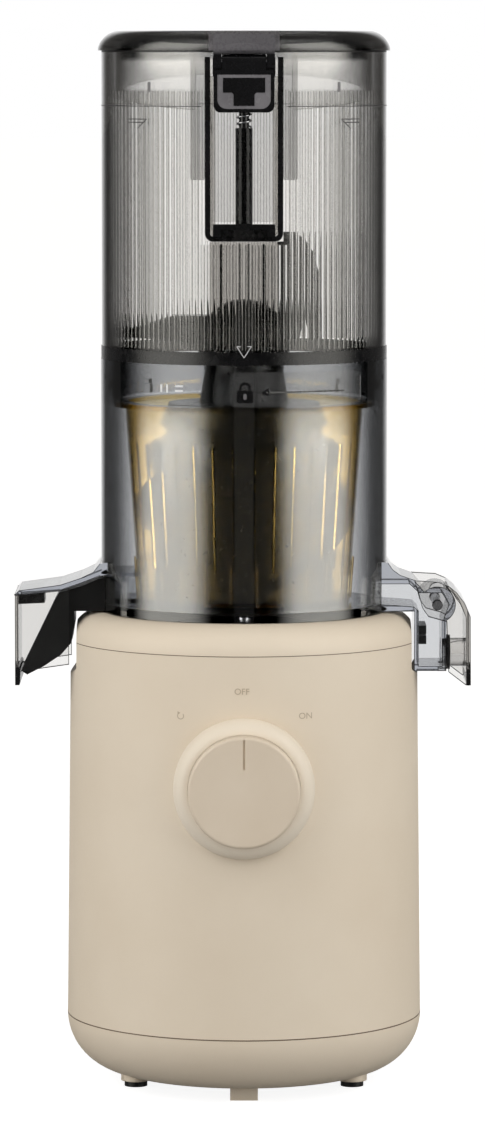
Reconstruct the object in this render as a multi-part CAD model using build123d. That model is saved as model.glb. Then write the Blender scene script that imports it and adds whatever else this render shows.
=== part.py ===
from build123d import *
import math
import os

# Cold press juicer, in millimetres. The origin is where the drive axis meets
# the surface that the juicer stands on. +Z is up, and the dial faces -Y.

# ---- Clearances ----------------------------------------------------------
RUN = 0.05  # a shaft that turns in its hole, per side
SNUG = 0.02  # a pressed or screwed fit, per side
SLIP = 0.3  # pieces that lift, twist or pass each other, per side

# ---- Heights, from the table up ------------------------------------------
FOOT_HEIGHT = 6.0
BASE_HEIGHT = 25.0
SHELL_HEIGHT = 164.6
SHOULDER = 12.7
BOWL_HEIGHT = 110.2
HOPPER_HEIGHT = 132.5
GASKET_THICKNESS = 0.7
LID_HEIGHT = 8.3

BASE_Z = FOOT_HEIGHT
SHELL_Z = BASE_Z + BASE_HEIGHT
HOUSING_Z = SHELL_Z + SHELL_HEIGHT
DECK_Z = HOUSING_Z + SHOULDER
HOPPER_Z = DECK_Z + BOWL_HEIGHT
RIM_Z = HOPPER_Z + HOPPER_HEIGHT
LID_Z = RIM_Z + GASKET_THICKNESS
TOP_Z = LID_Z + LID_HEIGHT

# ---- Body ----------------------------------------------------------------
BODY_R_LOW = 77.6
BODY_TAPER = 1.8
BODY_R_HIGH = BODY_R_LOW - BODY_TAPER
BODY_WALL = 3.0
DECK_R = BODY_R_HIGH - SHOULDER
FLAT_INSET = 3.0
FLAT_X = BODY_R_HIGH - FLAT_INSET  # the flats beside the two spouts
FLAT_DROP = 14.6  # how far the flats run down below the seam
FLAT_WALL = 3.3
FLAT_SLOPE = 3.0
THICK_R = FLAT_X - FLAT_WALL
SPIGOT_HEIGHT = 5.0
SPIGOT_WALL = 2.7
DECK_THICKNESS = 3.3
DECK_UNDER_Z = DECK_Z - DECK_THICKNESS

# ---- Screws: one size holds the case and the drive -----------------------
SCREW_R = 2.0
SCREW_LENGTH = 16.0
SCREW_HEAD_R = 3.8
SCREW_HEAD = 2.4
SCREW_BOSS_R = 5.0

# ---- Base cover and feet -------------------------------------------------
BASE_SCREW_INSET = 19.6
BASE_SCREW_R = BODY_R_LOW - BASE_SCREW_INSET
BASE_SCREW_ANGLES = (35, 145, 215, 325)
LUG_THICKNESS = 5.0
BASE_FLAT_R = BODY_R_LOW - BASE_HEIGHT  # where the round edge meets the underside
FOOT_INSET = 2.6
FOOT_CIRCLE_R = BASE_FLAT_R - FOOT_INSET
FOOT_ANGLES = (-18.7, 54.0, 126.0, 198.7)
FOOT_R = 5.0
FOOT_BOSS_R = 6.5
FOOT_SHOWS = 2.5
FOOT_DEPTH = 2.5
TAB_WIDTH = 12.0
TAB_DEPTH = 6.0
TAB_INSET = 4.6
TAB_Y = TAB_INSET - BASE_FLAT_R
NUB_INSET = 13.6
NUB_X = NUB_INSET - BODY_R_LOW
NUB_Y = 12.0
NUB_R = 3.5
NUB_HEIGHT = 6.3
VENT_COUNT = 7
VENT_PITCH = 8.0
VENT_WIDTH = 3.0
VENT_LENGTH = 46.0

# ---- Dial ----------------------------------------------------------------
DIAL_Z = 139.5
DIAL_R = 24.0
DIAL_WALL = 2.5
DIAL_EDGE = 1.5
COLLAR_R = 30.0
COLLAR_RISE = 5.2
COLLAR_Y = -(BODY_R_HIGH + COLLAR_RISE)
DIAL_HEIGHT = 11.0
DIAL_FACE_Y = COLLAR_Y - DIAL_HEIGHT
COLLAR_WALL = 3.0
COLLAR_EDGE = 2.5
POINTER_LENGTH = 12.5
POINTER_WIDTH = 1.0
POINTER_DEPTH = 0.6
KNOB_SHAFT_R = 3.0
KNOB_HUB_R = 5.5
SWITCH_HALF = 14.0
SWITCH_DEPTH = 18.0
SWITCH_SCREW_OFFSET = 9.5
SWITCH_SCREW_R = 1.5
SWITCH_SCREW_HEAD_R = 2.7
SWITCH_SCREW_HEAD = 2.0
SWITCH_BACK = 2.0
TERMINALS = 4
TERMINAL_WIDTH = 4.0
TERMINAL_LENGTH = 6.0
TERMINAL_THICKNESS = 1.0

# ---- Cord gland ----------------------------------------------------------
GLAND_Z = 45.0
GLAND_PAD_R = 11.0
GLAND_PAD_RISE = 1.4
GLAND_PAD_Y = BODY_R_LOW + GLAND_PAD_RISE
GLAND_R = 6.0
GLAND_FLANGE_R = 9.0
GLAND_FLANGE = 2.5
GLAND_NUT = 4.0
GLAND_REACH = 9.0
GLAND_END_Y = GLAND_PAD_Y + GLAND_REACH
CORD_HOLE_R = 3.6

# ---- Motor ---------------------------------------------------------------
MOTOR_Z = 54.0
MOTOR_HEIGHT = 58.0
MOTOR_R = 34.0
MOTOR_WALL = 2.0
MOTOR_TOP_Z = MOTOR_Z + MOTOR_HEIGHT
END_PLATE = 3.0
STATOR_BORE_R = 15.2
STATOR_LENGTH = 32.0
STATOR_Z = MOTOR_Z + 12.0
STATOR_SLOTS = 6
SLOT_IN_R = 18.0
SLOT_OUT_R = 28.0
SLOT_WIDTH = 8.0
SLOT_MOUTH = 2.4
COIL_HEIGHT = 5.8
ROTOR_R = 14.6
SHAFT_R = 4.0
SHAFT_END_Z = MOTOR_Z - 15.0
BEARING_R = 9.0
BEARING_WIDTH = 6.0
BEARING_BOSS = 2.5
FAN_R = 27.0
FAN_HUB_R = 8.0
FAN_HEIGHT = 7.0
FAN_BLADES = 9
FAN_BLADE = 1.6
FAN_PITCH_DEG = 35.0

# ---- Reduction gearbox: two planetary stages in one ring gear ------------
MODULE = 1.0
SUN_TEETH = 12
PLANET_TEETH = 24
RING_TEETH = SUN_TEETH + 2 * PLANET_TEETH
ADDENDUM = 0.8
DEDENDUM = 1.1
BACKLASH = 0.16
PLANET_CIRCLE_R = MODULE * (SUN_TEETH + PLANET_TEETH) / 2
PLANETS = 3
GEARBOX_R = 38.0
GEARBOX_WALL = 3.0
GEARBOX_FLOOR = 4.0
RING_RIM_R = GEARBOX_R - GEARBOX_WALL
GEAR_FACE_1 = 8.0
GEAR_FACE_2 = 9.5
CARRIER_R = 24.0
CARRIER_1 = 2.5
CARRIER_2 = 4.0
PLANET_PIN_R = 2.5
PINION_BORE_R = 3.0
AXIAL = 0.5  # end float between stages

STAGE_1_Z = MOTOR_TOP_Z + GEARBOX_FLOOR + 3 * AXIAL
CARRIER_1_Z = STAGE_1_Z + GEAR_FACE_1 + AXIAL
STAGE_2_Z = CARRIER_1_Z + CARRIER_1 + AXIAL
CARRIER_2_Z = STAGE_2_Z + GEAR_FACE_2 + AXIAL
COVER_Z = CARRIER_2_Z + CARRIER_2 + AXIAL
COVER_THICKNESS = 4.5
COVER_R = 40.0
POST_XY = 35.0
POST_R = 6.0
BUSH_THICKNESS = 2.0
OUTPUT_R = 7.0
OUTPUT_BEARING_R = 11.0
OUTPUT_BEARING_WIDTH = 7.0
DECK_BEARING_LIP = 2.0
OUTPUT_BOSS_R = 14.0
OUTPUT_BOSS = 8.0
HEX_FLATS = 12.0
HEX_TOP_Z = DECK_Z + 29.7

# ---- Deck above the drive ------------------------------------------------
NECK_R = 17.0
NECK_HEIGHT = 4.7
SEAL_R = 13.0
SEAL_HEIGHT = 5.0
KEY_COUNT = 3
KEY_INSET = 9.4
KEY_LENGTH = 8.0
KEY_WIDTH = 4.0
KEY_HEIGHT = 2.0
SENSOR_INSET = 12.4
SENSOR_SIZE = (12.0, 10.0, 5.0)
MAGNET_R = 4.0
MAGNET_HEIGHT = 2.0

# ---- Control board -------------------------------------------------------
BOARD_Z = 18.0
BOARD_X = 80.0
BOARD_Y = 56.0
BOARD_THICKNESS = 1.6
BOARD_POST_R = 3.0
BOARD_INSET = 4.0
TRANSFORMER = (22.0, 20.0, 14.0)
TRANSFORMER_AT = (-17.0, -4.0)
RELAY = (14.0, 20.0, 10.0)
RELAY_AT = (25.0, -6.0)
CONNECTOR = (60.0, 6.0, 8.0)
CONNECTOR_AT = (0.0, 17.0)
CAPACITOR_R = 6.0
CAPACITOR_HEIGHT = 15.0
CAPACITOR_X = 8.0
CAPACITOR_YS = (-12.0, 6.0)

# ---- Juicing bowl --------------------------------------------------------
DECK_LEDGE = 0.7  # how far the deck shows around the bowl
BOWL_R = DECK_R - DECK_LEDGE
BOWL_WALL = 2.5
BOWL_FLOOR = 4.0
BOWL_IN_R = BOWL_R - BOWL_WALL
KEY_R = BOWL_R - KEY_INSET
SENSOR_Y = SENSOR_INSET - BOWL_R
FLOOR_Z = DECK_Z + BOWL_FLOOR
CHIMNEY_R = 20.0
CHIMNEY_HEIGHT = 13.7
CHIMNEY_TOP = 3.0
CHIMNEY_TOP_Z = DECK_Z + CHIMNEY_HEIGHT
SLEEVE_R = 8.6
BOWL_SEAL_R = 12.0
BOWL_SEAL_HEIGHT = 2.0
RIB_COUNT = 3
RIB_ARC = 36.0
RIB_DEPTH = 2.0
RIB_HEIGHT = 2.0
RIB_DROP = 8.5  # from the hopper's seat down to the underside of the ribs
LUG_HEIGHT = 3.7
LUG_REACH = 1.8
SPIGOT_DROP = 17.3  # how far the hopper reaches down into the bowl

# ---- Strainer, auger and feed wing ---------------------------------------
STRAINER_FLOOR = 2.5
JUICE_GAP = 7.9
STRAINER_R_HIGH = BOWL_IN_R - JUICE_GAP
STRAINER_TAPER = 6.0
STRAINER_R_LOW = STRAINER_R_HIGH - STRAINER_TAPER
STRAINER_WALL = 1.8
STRAINER_FLOAT = 1.2  # end float under the hopper
STRAINER_TOP_Z = HOPPER_Z - SPIGOT_DROP - STRAINER_FLOAT
STRAINER_FLANGE_R = BOWL_IN_R - 2.9
STRAINER_FLANGE = 2.0
STRAINER_SLOTS = 36
STRAINER_SLOT = 1.0
SLOT_LIFT = 14.0
SLOT_MARGIN = 17.2
AUGER_CLEAR = 0.8
AUGER_R_NECK = 20.0
AUGER_R_HIGH = 16.0
AUGER_SHOULDER_DROP = 32.0
AUGER_NECK_DROP = 4.0
THREAD_DEPTH = 4.0
FLIGHT = 5.0
FLIGHT_TURN_DEG = 200.0
FLIGHT_START_DEG = -87.0
SOCKET_DEPTH = 25.0
PEG = 10.0
PEG_HEIGHT = 10.0
WING_HUB_R = 20.0
WING_HUB_RIM = 4.0
WING_LIFT = 1.5
ARM_CLEAR = 3.0
ARM_HEIGHT = 17.0
ARM_THICKNESS = 7.0
BLADE_IN_X = 17.0
BLADE_OUT_X = 32.5
BLADE_TOP_Z = HOPPER_Z + 54.5
BLADE_THICKNESS = 5.0
BLADE_LIFT = 8.0

# ---- Hopper --------------------------------------------------------------
HOPPER_STEP = 0.5
HOPPER_R = BOWL_R - HOPPER_STEP
HOPPER_WALL = 2.5
HOPPER_IN_R = HOPPER_R - HOPPER_WALL
SPIGOT_CLEAR = 0.4
SPIGOT_R = BOWL_IN_R - RIB_DEPTH - SPIGOT_CLEAR
SPIGOT_IN_R = SPIGOT_R - HOPPER_WALL
ARM_REACH = SPIGOT_IN_R - ARM_CLEAR
BAND_HEIGHT = 5.5
BAND_R = HOPPER_R + SLIP
BAND_WALL = 1.8
NICHE_HALF = 16.5
NICHE_WALL = 3.0
NICHE_FLOOR = 5.0
NICHE_DROP = 80.0  # from the hopper's rim down to the niche's underside
NICHE_DEPTH = 15.9
NICHE_BACK_Y = NICHE_DEPTH - HOPPER_R
NICHE_Z = RIM_Z - NICHE_DROP
NICHE_FLOOR_Z = NICHE_Z + NICHE_FLOOR
HINGE_OUT = 5.1
HINGE_Y = HOPPER_R + HINGE_OUT
HINGE_DROP = 0.5
HINGE_Z = RIM_Z - HINGE_DROP
HINGE_R = 4.0
HINGE_PIN_R = 1.5
KNUCKLE_HALF = 5.7
LUG_WIDTH = 4.0
LUG_DROP = 14.0
CATCH_INNER_X = 6.0
CATCH_DEPTH = 3.0
CATCH_HEIGHT = 2.5
CATCH_BACK = 5.0  # from the latch's face to the ledges it closes under

# ---- Interlock rod -------------------------------------------------------
ROD_DEPTH = 6.4
ROD_Y = ROD_DEPTH - HOPPER_R
ROD_R = 2.15
TUBE_R = 3.65
TUBE_HEIGHT = 43.0
ROD_HEAD_R = 3.8
ROD_HEAD = 3.0
ROD_TOP_Z = RIM_Z - 12.0
ROD_SPRING_WIRE_R = 0.4
ROD_SPRING_R = 2.95
ROD_SPRING_TURNS = 6

# ---- Lid -----------------------------------------------------------------
LID_OVERHANG = 1.5
LID_R = HOPPER_R + LID_OVERHANG
LID_SHOULDER = 11.0
LID_EDGE = 0.9
LID_SKIN = 2.6
BAND_DEPTH = 1.2
LID_BAND_HALF = 15.0
LID_RIM = 4.9
SKIRT_GAP = 3.5
SKIRT_R = HOPPER_IN_R - SKIRT_GAP
SKIRT_WALL = 2.1
SKIRT_MID_Z = RIM_Z - 17.0
SKIRT_SLOPE_DEG = 8.1
SKIRT_NOTCH_HALF = 20.0
HINGE_NOTCH_HALF = 10.6
GASKET_R = HOPPER_R - 5 * SNUG
GASKET_WIDTH = 2.8

# ---- Latch ---------------------------------------------------------------
LATCH_HALF = 12.9
LATCH_PROUD = 0.6
LATCH_FACE_Y = -(HOPPER_R + LATCH_PROUD)
CATCH_Y = LATCH_FACE_Y + CATCH_BACK
LATCH_THICKNESS = 2.5
LATCH_TOP_Z = RIM_Z - 7.5
LATCH_BOTTOM_Z = RIM_Z - 25.4
LATCH_CORNER = 3.0
LATCH_PIN_Y = LATCH_FACE_Y + LATCH_THICKNESS
LATCH_PIN_Z = RIM_Z - 3.5
LATCH_PIN_R = 1.1
LATCH_KNUCKLE_R = 2.5
LATCH_KNUCKLE_HALF = 9.3
NOSE_HEIGHT = 2.0
EAR_HALF = 13.0
EAR_BOTTOM_Z = RIM_Z - 6.6
BRIDGE_Z = RIM_Z - 0.4
PUSHER_HALF = 3.0
GRIP_HALF = 8.0
GRIP_BAR = 4.0
GRIP_STEM_HALF = 3.5
GRIP_STEM = 5.0
GRIP_DEPTH = 1.2

# ---- Juice spout and its cap (+X side) -----------------------------------
SPOUT_HALF = 18.0
SPOUT_WALL = 2.0
SPOUT_GAP = 1.2
SPOUT_DROP_X = FLAT_X + SPOUT_GAP
SPOUT_DEPTH = 14.0
SPOUT_END_X = SPOUT_DROP_X + SPOUT_DEPTH
SPOUT_FLOOR_Z = DECK_Z + 0.7
SPOUT_LOW_Z = DECK_Z - 25.3
SPOUT_ROOF_Z = DECK_Z + 14.5
CAP_PIN_INSET = 4.0
CAP_PIN_X = SPOUT_END_X - CAP_PIN_INSET
CAP_PIN_Z = DECK_Z + 3.7
CAP_PIN_R = 1.9
EAR_R = 8.0
CAP_WALL = 2.0
CAP_REACH = 10.6
CAP_FACE_X = SPOUT_END_X + CAP_REACH
CAP_LOW_Z = DECK_Z - 31.3
CAP_ROOF_START_X = SPOUT_END_X + 0.5
MOUTH_Z = DECK_Z - 18.8
MOUTH_R = 6.5
PLUG_INSERT = 1.5
CAP_SEAL_R = 7.6
CAP_SEAL_WIDTH = 2.0
PAD_HALF = 10.0
PAD_THICKNESS = 3.5
PAD_HEIGHT = 3.6
PAD_GAP = 0.8
PAD_LIFT = 11.0

# ---- Pulp spout (-X side) ------------------------------------------------
CANOPY_HALF = 20.0
PULP_REACH = 27.0
CANOPY_END_X = -(FLAT_X + PULP_REACH)
HOOD_HALF = 19.8
HOOD_WALL = 1.5
HOOD_FACE_X = CANOPY_END_X + SLIP
HOOD_GAP = 3.2
HOOD_INNER_X = -(FLAT_X + HOOD_GAP)
HOOD_LOW_Z = DECK_Z - 31.3
CHUTE_HALF = 16.0
CHUTE_WALL = 2.0
TUNNEL_HALF = 15.0
TUNNEL_WALL = 2.0
TUNNEL_OVERLAP = 6.0
TUNNEL_TOP_Z = DECK_Z + 17.7
CLIP_HALF = 8.0
CLIP_LENGTH = 11.0
CLIP_HEIGHT = 5.0

QUARTER = math.sin(math.pi / 4)
UPRIGHT = (Align.CENTER, Align.CENTER, Align.MIN)
CORNER = (Align.MIN, Align.MIN, Align.MIN)
FAR = 400.0


# ---- Building blocks -----------------------------------------------------
def disc(radius, low, high, x=0.0, y=0.0):
    return Pos(x, y, low) * Cylinder(radius, high - low, align=UPRIGHT)


def ring(outer, inner, low, high, x=0.0, y=0.0):
    return disc(outer, low, high, x, y) - disc(inner, low, high, x, y)


def block(x0, x1, y0, y1, z0, z1):
    return Pos(x0, y0, z0) * Box(x1 - x0, y1 - y0, z1 - z0, align=CORNER)


def along_x(radius, near, far, y, z):
    return Pos(near, y, z) * Rot(0, 90, 0) * Cylinder(radius, far - near, align=UPRIGHT)


def along_y(radius, near, far, x, z):
    return Pos(x, near, z) * Rot(-90, 0, 0) * Cylinder(radius, far - near, align=UPRIGHT)


def turned(edges):
    """A solid turned about the drive axis from edges in (radius, height)."""
    return revolve(Plane.XZ * make_face(edges), Axis.Z)


def turned_points(*points):
    return turned(Polyline(*points, close=True))


def across(half_width, *points):
    """A plate of (x, height) points, as wide as half_width on both sides of y = 0."""
    face = Plane.XZ * make_face(Polyline(*points, close=True))
    return extrude(face, half_width, both=True)


def polar(radius, degrees):
    return radius * math.cos(math.radians(degrees)), radius * math.sin(math.radians(degrees))


def sector(outer, inner, low, high, middle_deg, arc_deg):
    """A piece of a ring, arc_deg long about middle_deg."""
    start = middle_deg - arc_deg / 2
    wedge = Rot(0, 0, start) * Pos(0, 0, low) * Cylinder(
        outer, high - low, arc_size=arc_deg, align=(Align.NONE, Align.NONE, Align.MIN)
    )
    return wedge - disc(inner, low, high)


def together(pieces):
    """Separate solids that share one node."""
    return Compound(children=[solid for piece in pieces for solid in piece.solids()])


def screw(x, y, head_z, up=True):
    """A case screw: its head's outer face is at head_z, and it points up or down."""
    body = disc(SCREW_HEAD_R, 0, SCREW_HEAD) + disc(SCREW_R, SCREW_HEAD, SCREW_HEAD + SCREW_LENGTH)
    turn = Rot(0, 0, 0) if up else Rot(180, 0, 0)
    return Pos(x, y, head_z) * turn * body


# ---- Gears ---------------------------------------------------------------
def involute(angle):
    return math.tan(angle) - angle


def tooth_half_angle(teeth, radius, slack):
    """Half a tooth's angle at a radius; slack thins it along the pitch circle."""
    pitch_r = MODULE * teeth / 2
    pressure = math.radians(20)
    base_r = pitch_r * math.cos(pressure)
    at = math.acos(min(1.0, base_r / radius))
    return math.pi / (2 * teeth) - slack / (2 * pitch_r) + involute(pressure) - involute(at)


def gear_face(teeth, tip, root, slack):
    """A spur gear's outline with straight flanks and one tooth centred on +X."""
    pitch_r = MODULE * teeth / 2
    corners = []
    for tooth in range(teeth):
        middle = 2 * math.pi * tooth / teeth
        for reach, side in ((-root, -1), (tip, -1), (tip, 1), (-root, 1)):
            radius = pitch_r + reach
            angle = middle + side * tooth_half_angle(teeth, radius, slack)
            corners.append((radius * math.cos(angle), radius * math.sin(angle)))
    return make_face(Polyline(*corners, close=True))


def spur_gear(teeth, low, high, bore):
    blank = extrude(gear_face(teeth, ADDENDUM, DEDENDUM, BACKLASH), high - low)
    return Pos(0, 0, low) * blank - disc(bore, low, high)


def planet(low, high, degrees):
    """A planet gear on its pin, turned so that it meshes with the sun and the ring."""
    x, y = polar(PLANET_CIRCLE_R, degrees)
    gear = Rot(0, 0, 180 / PLANET_TEETH) * spur_gear(PLANET_TEETH, low, high, PLANET_PIN_R + RUN)
    return Pos(x, y, 0) * gear


def planet_angles():
    return [360 * number / PLANETS for number in range(PLANETS)]


def carrier(plate_z, thickness, pin_length):
    """A plate whose pins hang down into the planets below it."""
    plate = disc(CARRIER_R, plate_z, plate_z + thickness)
    for degrees in planet_angles():
        x, y = polar(PLANET_CIRCLE_R, degrees)
        plate += disc(PLANET_PIN_R, plate_z - pin_length, plate_z, x, y)
    return plate


def ring_gear():
    low = MOTOR_TOP_Z + GEARBOX_FLOOR
    high = CARRIER_2_Z
    space = extrude(gear_face(RING_TEETH, DEDENDUM, ADDENDUM, -BACKLASH), high - low)
    return disc(RING_RIM_R - SNUG, low, high) - Pos(0, 0, low) * Rot(0, 0, 180 / RING_TEETH) * space


def first_carrier():
    plate = carrier(CARRIER_1_Z, CARRIER_1, GEAR_FACE_1)
    low = CARRIER_1_Z + CARRIER_1
    teeth = extrude(gear_face(SUN_TEETH, ADDENDUM, DEDENDUM, BACKLASH), STAGE_2_Z + GEAR_FACE_2 - low)
    return plate + Pos(0, 0, low) * teeth


def output_carrier():
    plate = carrier(CARRIER_2_Z, CARRIER_2, GEAR_FACE_2)
    return plate - disc(OUTPUT_R + SNUG, CARRIER_2_Z, CARRIER_2_Z + CARRIER_2)


def output_shaft():
    hex_low = DECK_Z + NECK_HEIGHT - 1
    shaft = disc(OUTPUT_R, CARRIER_2_Z, hex_low)
    drive = extrude(RegularPolygon(HEX_FLATS / 2, 6, major_radius=False), HEX_TOP_Z - hex_low)
    return shaft + Pos(0, 0, hex_low) * drive


# ---- Motor ---------------------------------------------------------------
def motor_can():
    top = MOTOR_TOP_Z - END_PLATE
    can = disc(MOTOR_R, MOTOR_Z, MOTOR_TOP_Z) - disc(MOTOR_R - MOTOR_WALL, MOTOR_Z, top)
    boss_low = MOTOR_TOP_Z - BEARING_WIDTH - 1
    can += disc(BEARING_R + BEARING_BOSS, boss_low, MOTOR_TOP_Z)
    can -= disc(BEARING_R + SNUG, MOTOR_TOP_Z - BEARING_WIDTH, MOTOR_TOP_Z)
    return can - disc(SHAFT_R + 1, boss_low, MOTOR_TOP_Z)


def motor_end_bell():
    low = MOTOR_Z - END_PLATE
    bell = disc(MOTOR_R, low, MOTOR_Z) + disc(BEARING_R + BEARING_BOSS, low, low + BEARING_WIDTH + 1)
    bell -= disc(BEARING_R + SNUG, low, low + BEARING_WIDTH)
    bell -= disc(SHAFT_R + 1, low, low + BEARING_WIDTH + 1)
    for degrees in range(0, 360, 60):
        x, y = polar((MOTOR_R + BEARING_R) / 2 + 1, degrees)
        bell -= disc(4, low, MOTOR_Z, x, y)
    return bell


def motor_bearings():
    low = MOTOR_Z - END_PLATE
    upper = MOTOR_TOP_Z - BEARING_WIDTH
    pair = [ring(BEARING_R, SHAFT_R + RUN, z, z + BEARING_WIDTH) for z in (low, upper)]
    return together(pair)


def slot_bars(inner, outer, width, low, high):
    """Bars that stand in the stator's slots."""
    bars = []
    for number in range(STATOR_SLOTS):
        bar = block(inner, outer, -width / 2, width / 2, low, high)
        bars.append(Rot(0, 0, 360 * number / STATOR_SLOTS) * bar)
    return bars


def stator_core():
    high = STATOR_Z + STATOR_LENGTH
    core = ring(MOTOR_R - MOTOR_WALL - SNUG, STATOR_BORE_R, STATOR_Z, high)
    for slot in slot_bars(SLOT_IN_R, SLOT_OUT_R, SLOT_WIDTH, STATOR_Z, high):
        core -= slot
    for mouth in slot_bars(STATOR_BORE_R - 1, SLOT_IN_R + 1, SLOT_MOUTH, STATOR_Z, high):
        core -= mouth
    return core


def stator_windings():
    high = STATOR_Z + STATOR_LENGTH
    coil = ring(SLOT_OUT_R, SLOT_IN_R, STATOR_Z - COIL_HEIGHT, STATOR_Z)
    coil += ring(SLOT_OUT_R, SLOT_IN_R, high, high + COIL_HEIGHT)
    for bar in slot_bars(SLOT_IN_R + SLIP, SLOT_OUT_R - SLIP, SLOT_WIDTH - 2 * SLIP, STATOR_Z, high):
        coil += bar
    return coil


def rotor_core():
    return ring(ROTOR_R, SHAFT_R + SNUG, STATOR_Z, STATOR_Z + STATOR_LENGTH)


def motor_shaft():
    step = MOTOR_TOP_Z + 2
    shaft = disc(SHAFT_R, SHAFT_END_Z, step)
    return shaft + disc(PINION_BORE_R - SNUG, step, STAGE_1_Z + GEAR_FACE_1)


def sun_gear():
    return spur_gear(SUN_TEETH, STAGE_1_Z, STAGE_1_Z + GEAR_FACE_1, PINION_BORE_R)


def cooling_fan():
    low = SHAFT_END_Z
    middle = low + FAN_HEIGHT / 2
    fan = disc(FAN_HUB_R, low, low + FAN_HEIGHT)
    span = FAN_R - FAN_HUB_R + 1
    for number in range(FAN_BLADES):
        blade = Box(span, FAN_BLADE, FAN_HEIGHT * 1.1)
        blade = Pos(FAN_HUB_R - 1 + span / 2, 0, middle) * Rot(FAN_PITCH_DEG, 0, 0) * blade
        fan += Rot(0, 0, 360 * number / FAN_BLADES) * blade
    return fan - disc(SHAFT_R + SNUG, low, low + FAN_HEIGHT)


# ---- Gearbox case --------------------------------------------------------
def gearbox_housing():
    case = disc(GEARBOX_R, MOTOR_TOP_Z, COVER_Z)
    case -= disc(RING_RIM_R, MOTOR_TOP_Z + GEARBOX_FLOOR, COVER_Z)
    return case - disc(SHAFT_R + 1, MOTOR_TOP_Z, COVER_Z)


def post_places():
    return [(x, y) for x in (-POST_XY, POST_XY) for y in (-POST_XY, POST_XY)]


def gearbox_cover():
    high = COVER_Z + COVER_THICKNESS
    boss_top = COVER_Z + OUTPUT_BOSS + 2
    cover = disc(COVER_R, COVER_Z, high)
    for x, y in post_places():
        turn = math.degrees(math.atan2(y, x))
        reach = math.hypot(x, y)
        arm = Rot(0, 0, turn) * block(0, reach, -POST_R, POST_R, COVER_Z, high)
        cover += arm + disc(POST_R, COVER_Z, high, x, y)
        cover -= disc(SCREW_R + SNUG, COVER_Z, high, x, y)
    cover += disc(OUTPUT_BOSS_R, COVER_Z, boss_top)
    cover -= disc(OUTPUT_BEARING_R + SNUG, boss_top - OUTPUT_BEARING_WIDTH, boss_top)
    return cover - disc(OUTPUT_R + 1, COVER_Z, boss_top)


def output_bearings():
    cover_low = COVER_Z + OUTPUT_BOSS + 2 - OUTPUT_BEARING_WIDTH
    rings = [
        ring(OUTPUT_BEARING_R, OUTPUT_R + RUN, z, z + OUTPUT_BEARING_WIDTH)
        for z in (cover_low, deck_bearing_z())
    ]
    return together(rings)


def mount_bushes():
    low = COVER_Z + COVER_THICKNESS
    bushes = [ring(POST_R, SCREW_R + SLIP, low, low + BUSH_THICKNESS, x, y) for x, y in post_places()]
    return together(bushes)


# ---- Body ----------------------------------------------------------------
def deck_bearing_z():
    return DECK_UNDER_Z - OUTPUT_BEARING_WIDTH - DECK_BEARING_LIP


def side_flats():
    """What is cut off beside the spouts, with a sloped lower end."""
    low = HOUSING_Z - FLAT_DROP
    cut = across(
        FAR / 2,
        (FLAT_X, low + FLAT_SLOPE),
        (FLAT_X + FLAT_SLOPE * 2, low - FLAT_SLOPE),
        (FLAT_X + FLAT_SLOPE * 4, low - FLAT_SLOPE),
        (FLAT_X + FLAT_SLOPE * 4, DECK_Z + 1),
        (FLAT_X, DECK_Z + 1),
    )
    return cut + mirror(cut, Plane.YZ)


def base_screw_places():
    return [polar(BASE_SCREW_R, degrees) for degrees in BASE_SCREW_ANGLES]


def seam_screw_places():
    radius = THICK_R - SCREW_BOSS_R + 1
    return [polar(radius, degrees) for degrees in (45, 135, 225, 315)]


def shell_hollow():
    """The room inside the body, narrower behind the flats."""
    thick_z = HOUSING_Z - FLAT_DROP - 2 * FLAT_SLOPE
    slope = (BODY_R_HIGH - BODY_R_LOW) / SHELL_HEIGHT
    thick_in_r = BODY_R_LOW + slope * (thick_z - SHELL_Z) - BODY_WALL
    return turned_points(
        (0, SHELL_Z),
        (BODY_R_LOW - BODY_WALL, SHELL_Z),
        (thick_in_r, thick_z - FLAT_SLOPE),
        (THICK_R, thick_z + FLAT_SLOPE),
        (THICK_R, HOUSING_Z),
        (0, HOUSING_Z),
    )


def dial_collar():
    collar = along_y(COLLAR_R, COLLAR_Y, -BODY_R_HIGH / 2, 0, DIAL_Z)
    rim = collar.edges().filter_by(GeomType.CIRCLE).sort_by(Axis.Y)[0]
    return fillet(rim, COLLAR_EDGE)


def seam_boss_top():
    return HOUSING_Z - SPIGOT_HEIGHT - 1


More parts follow.
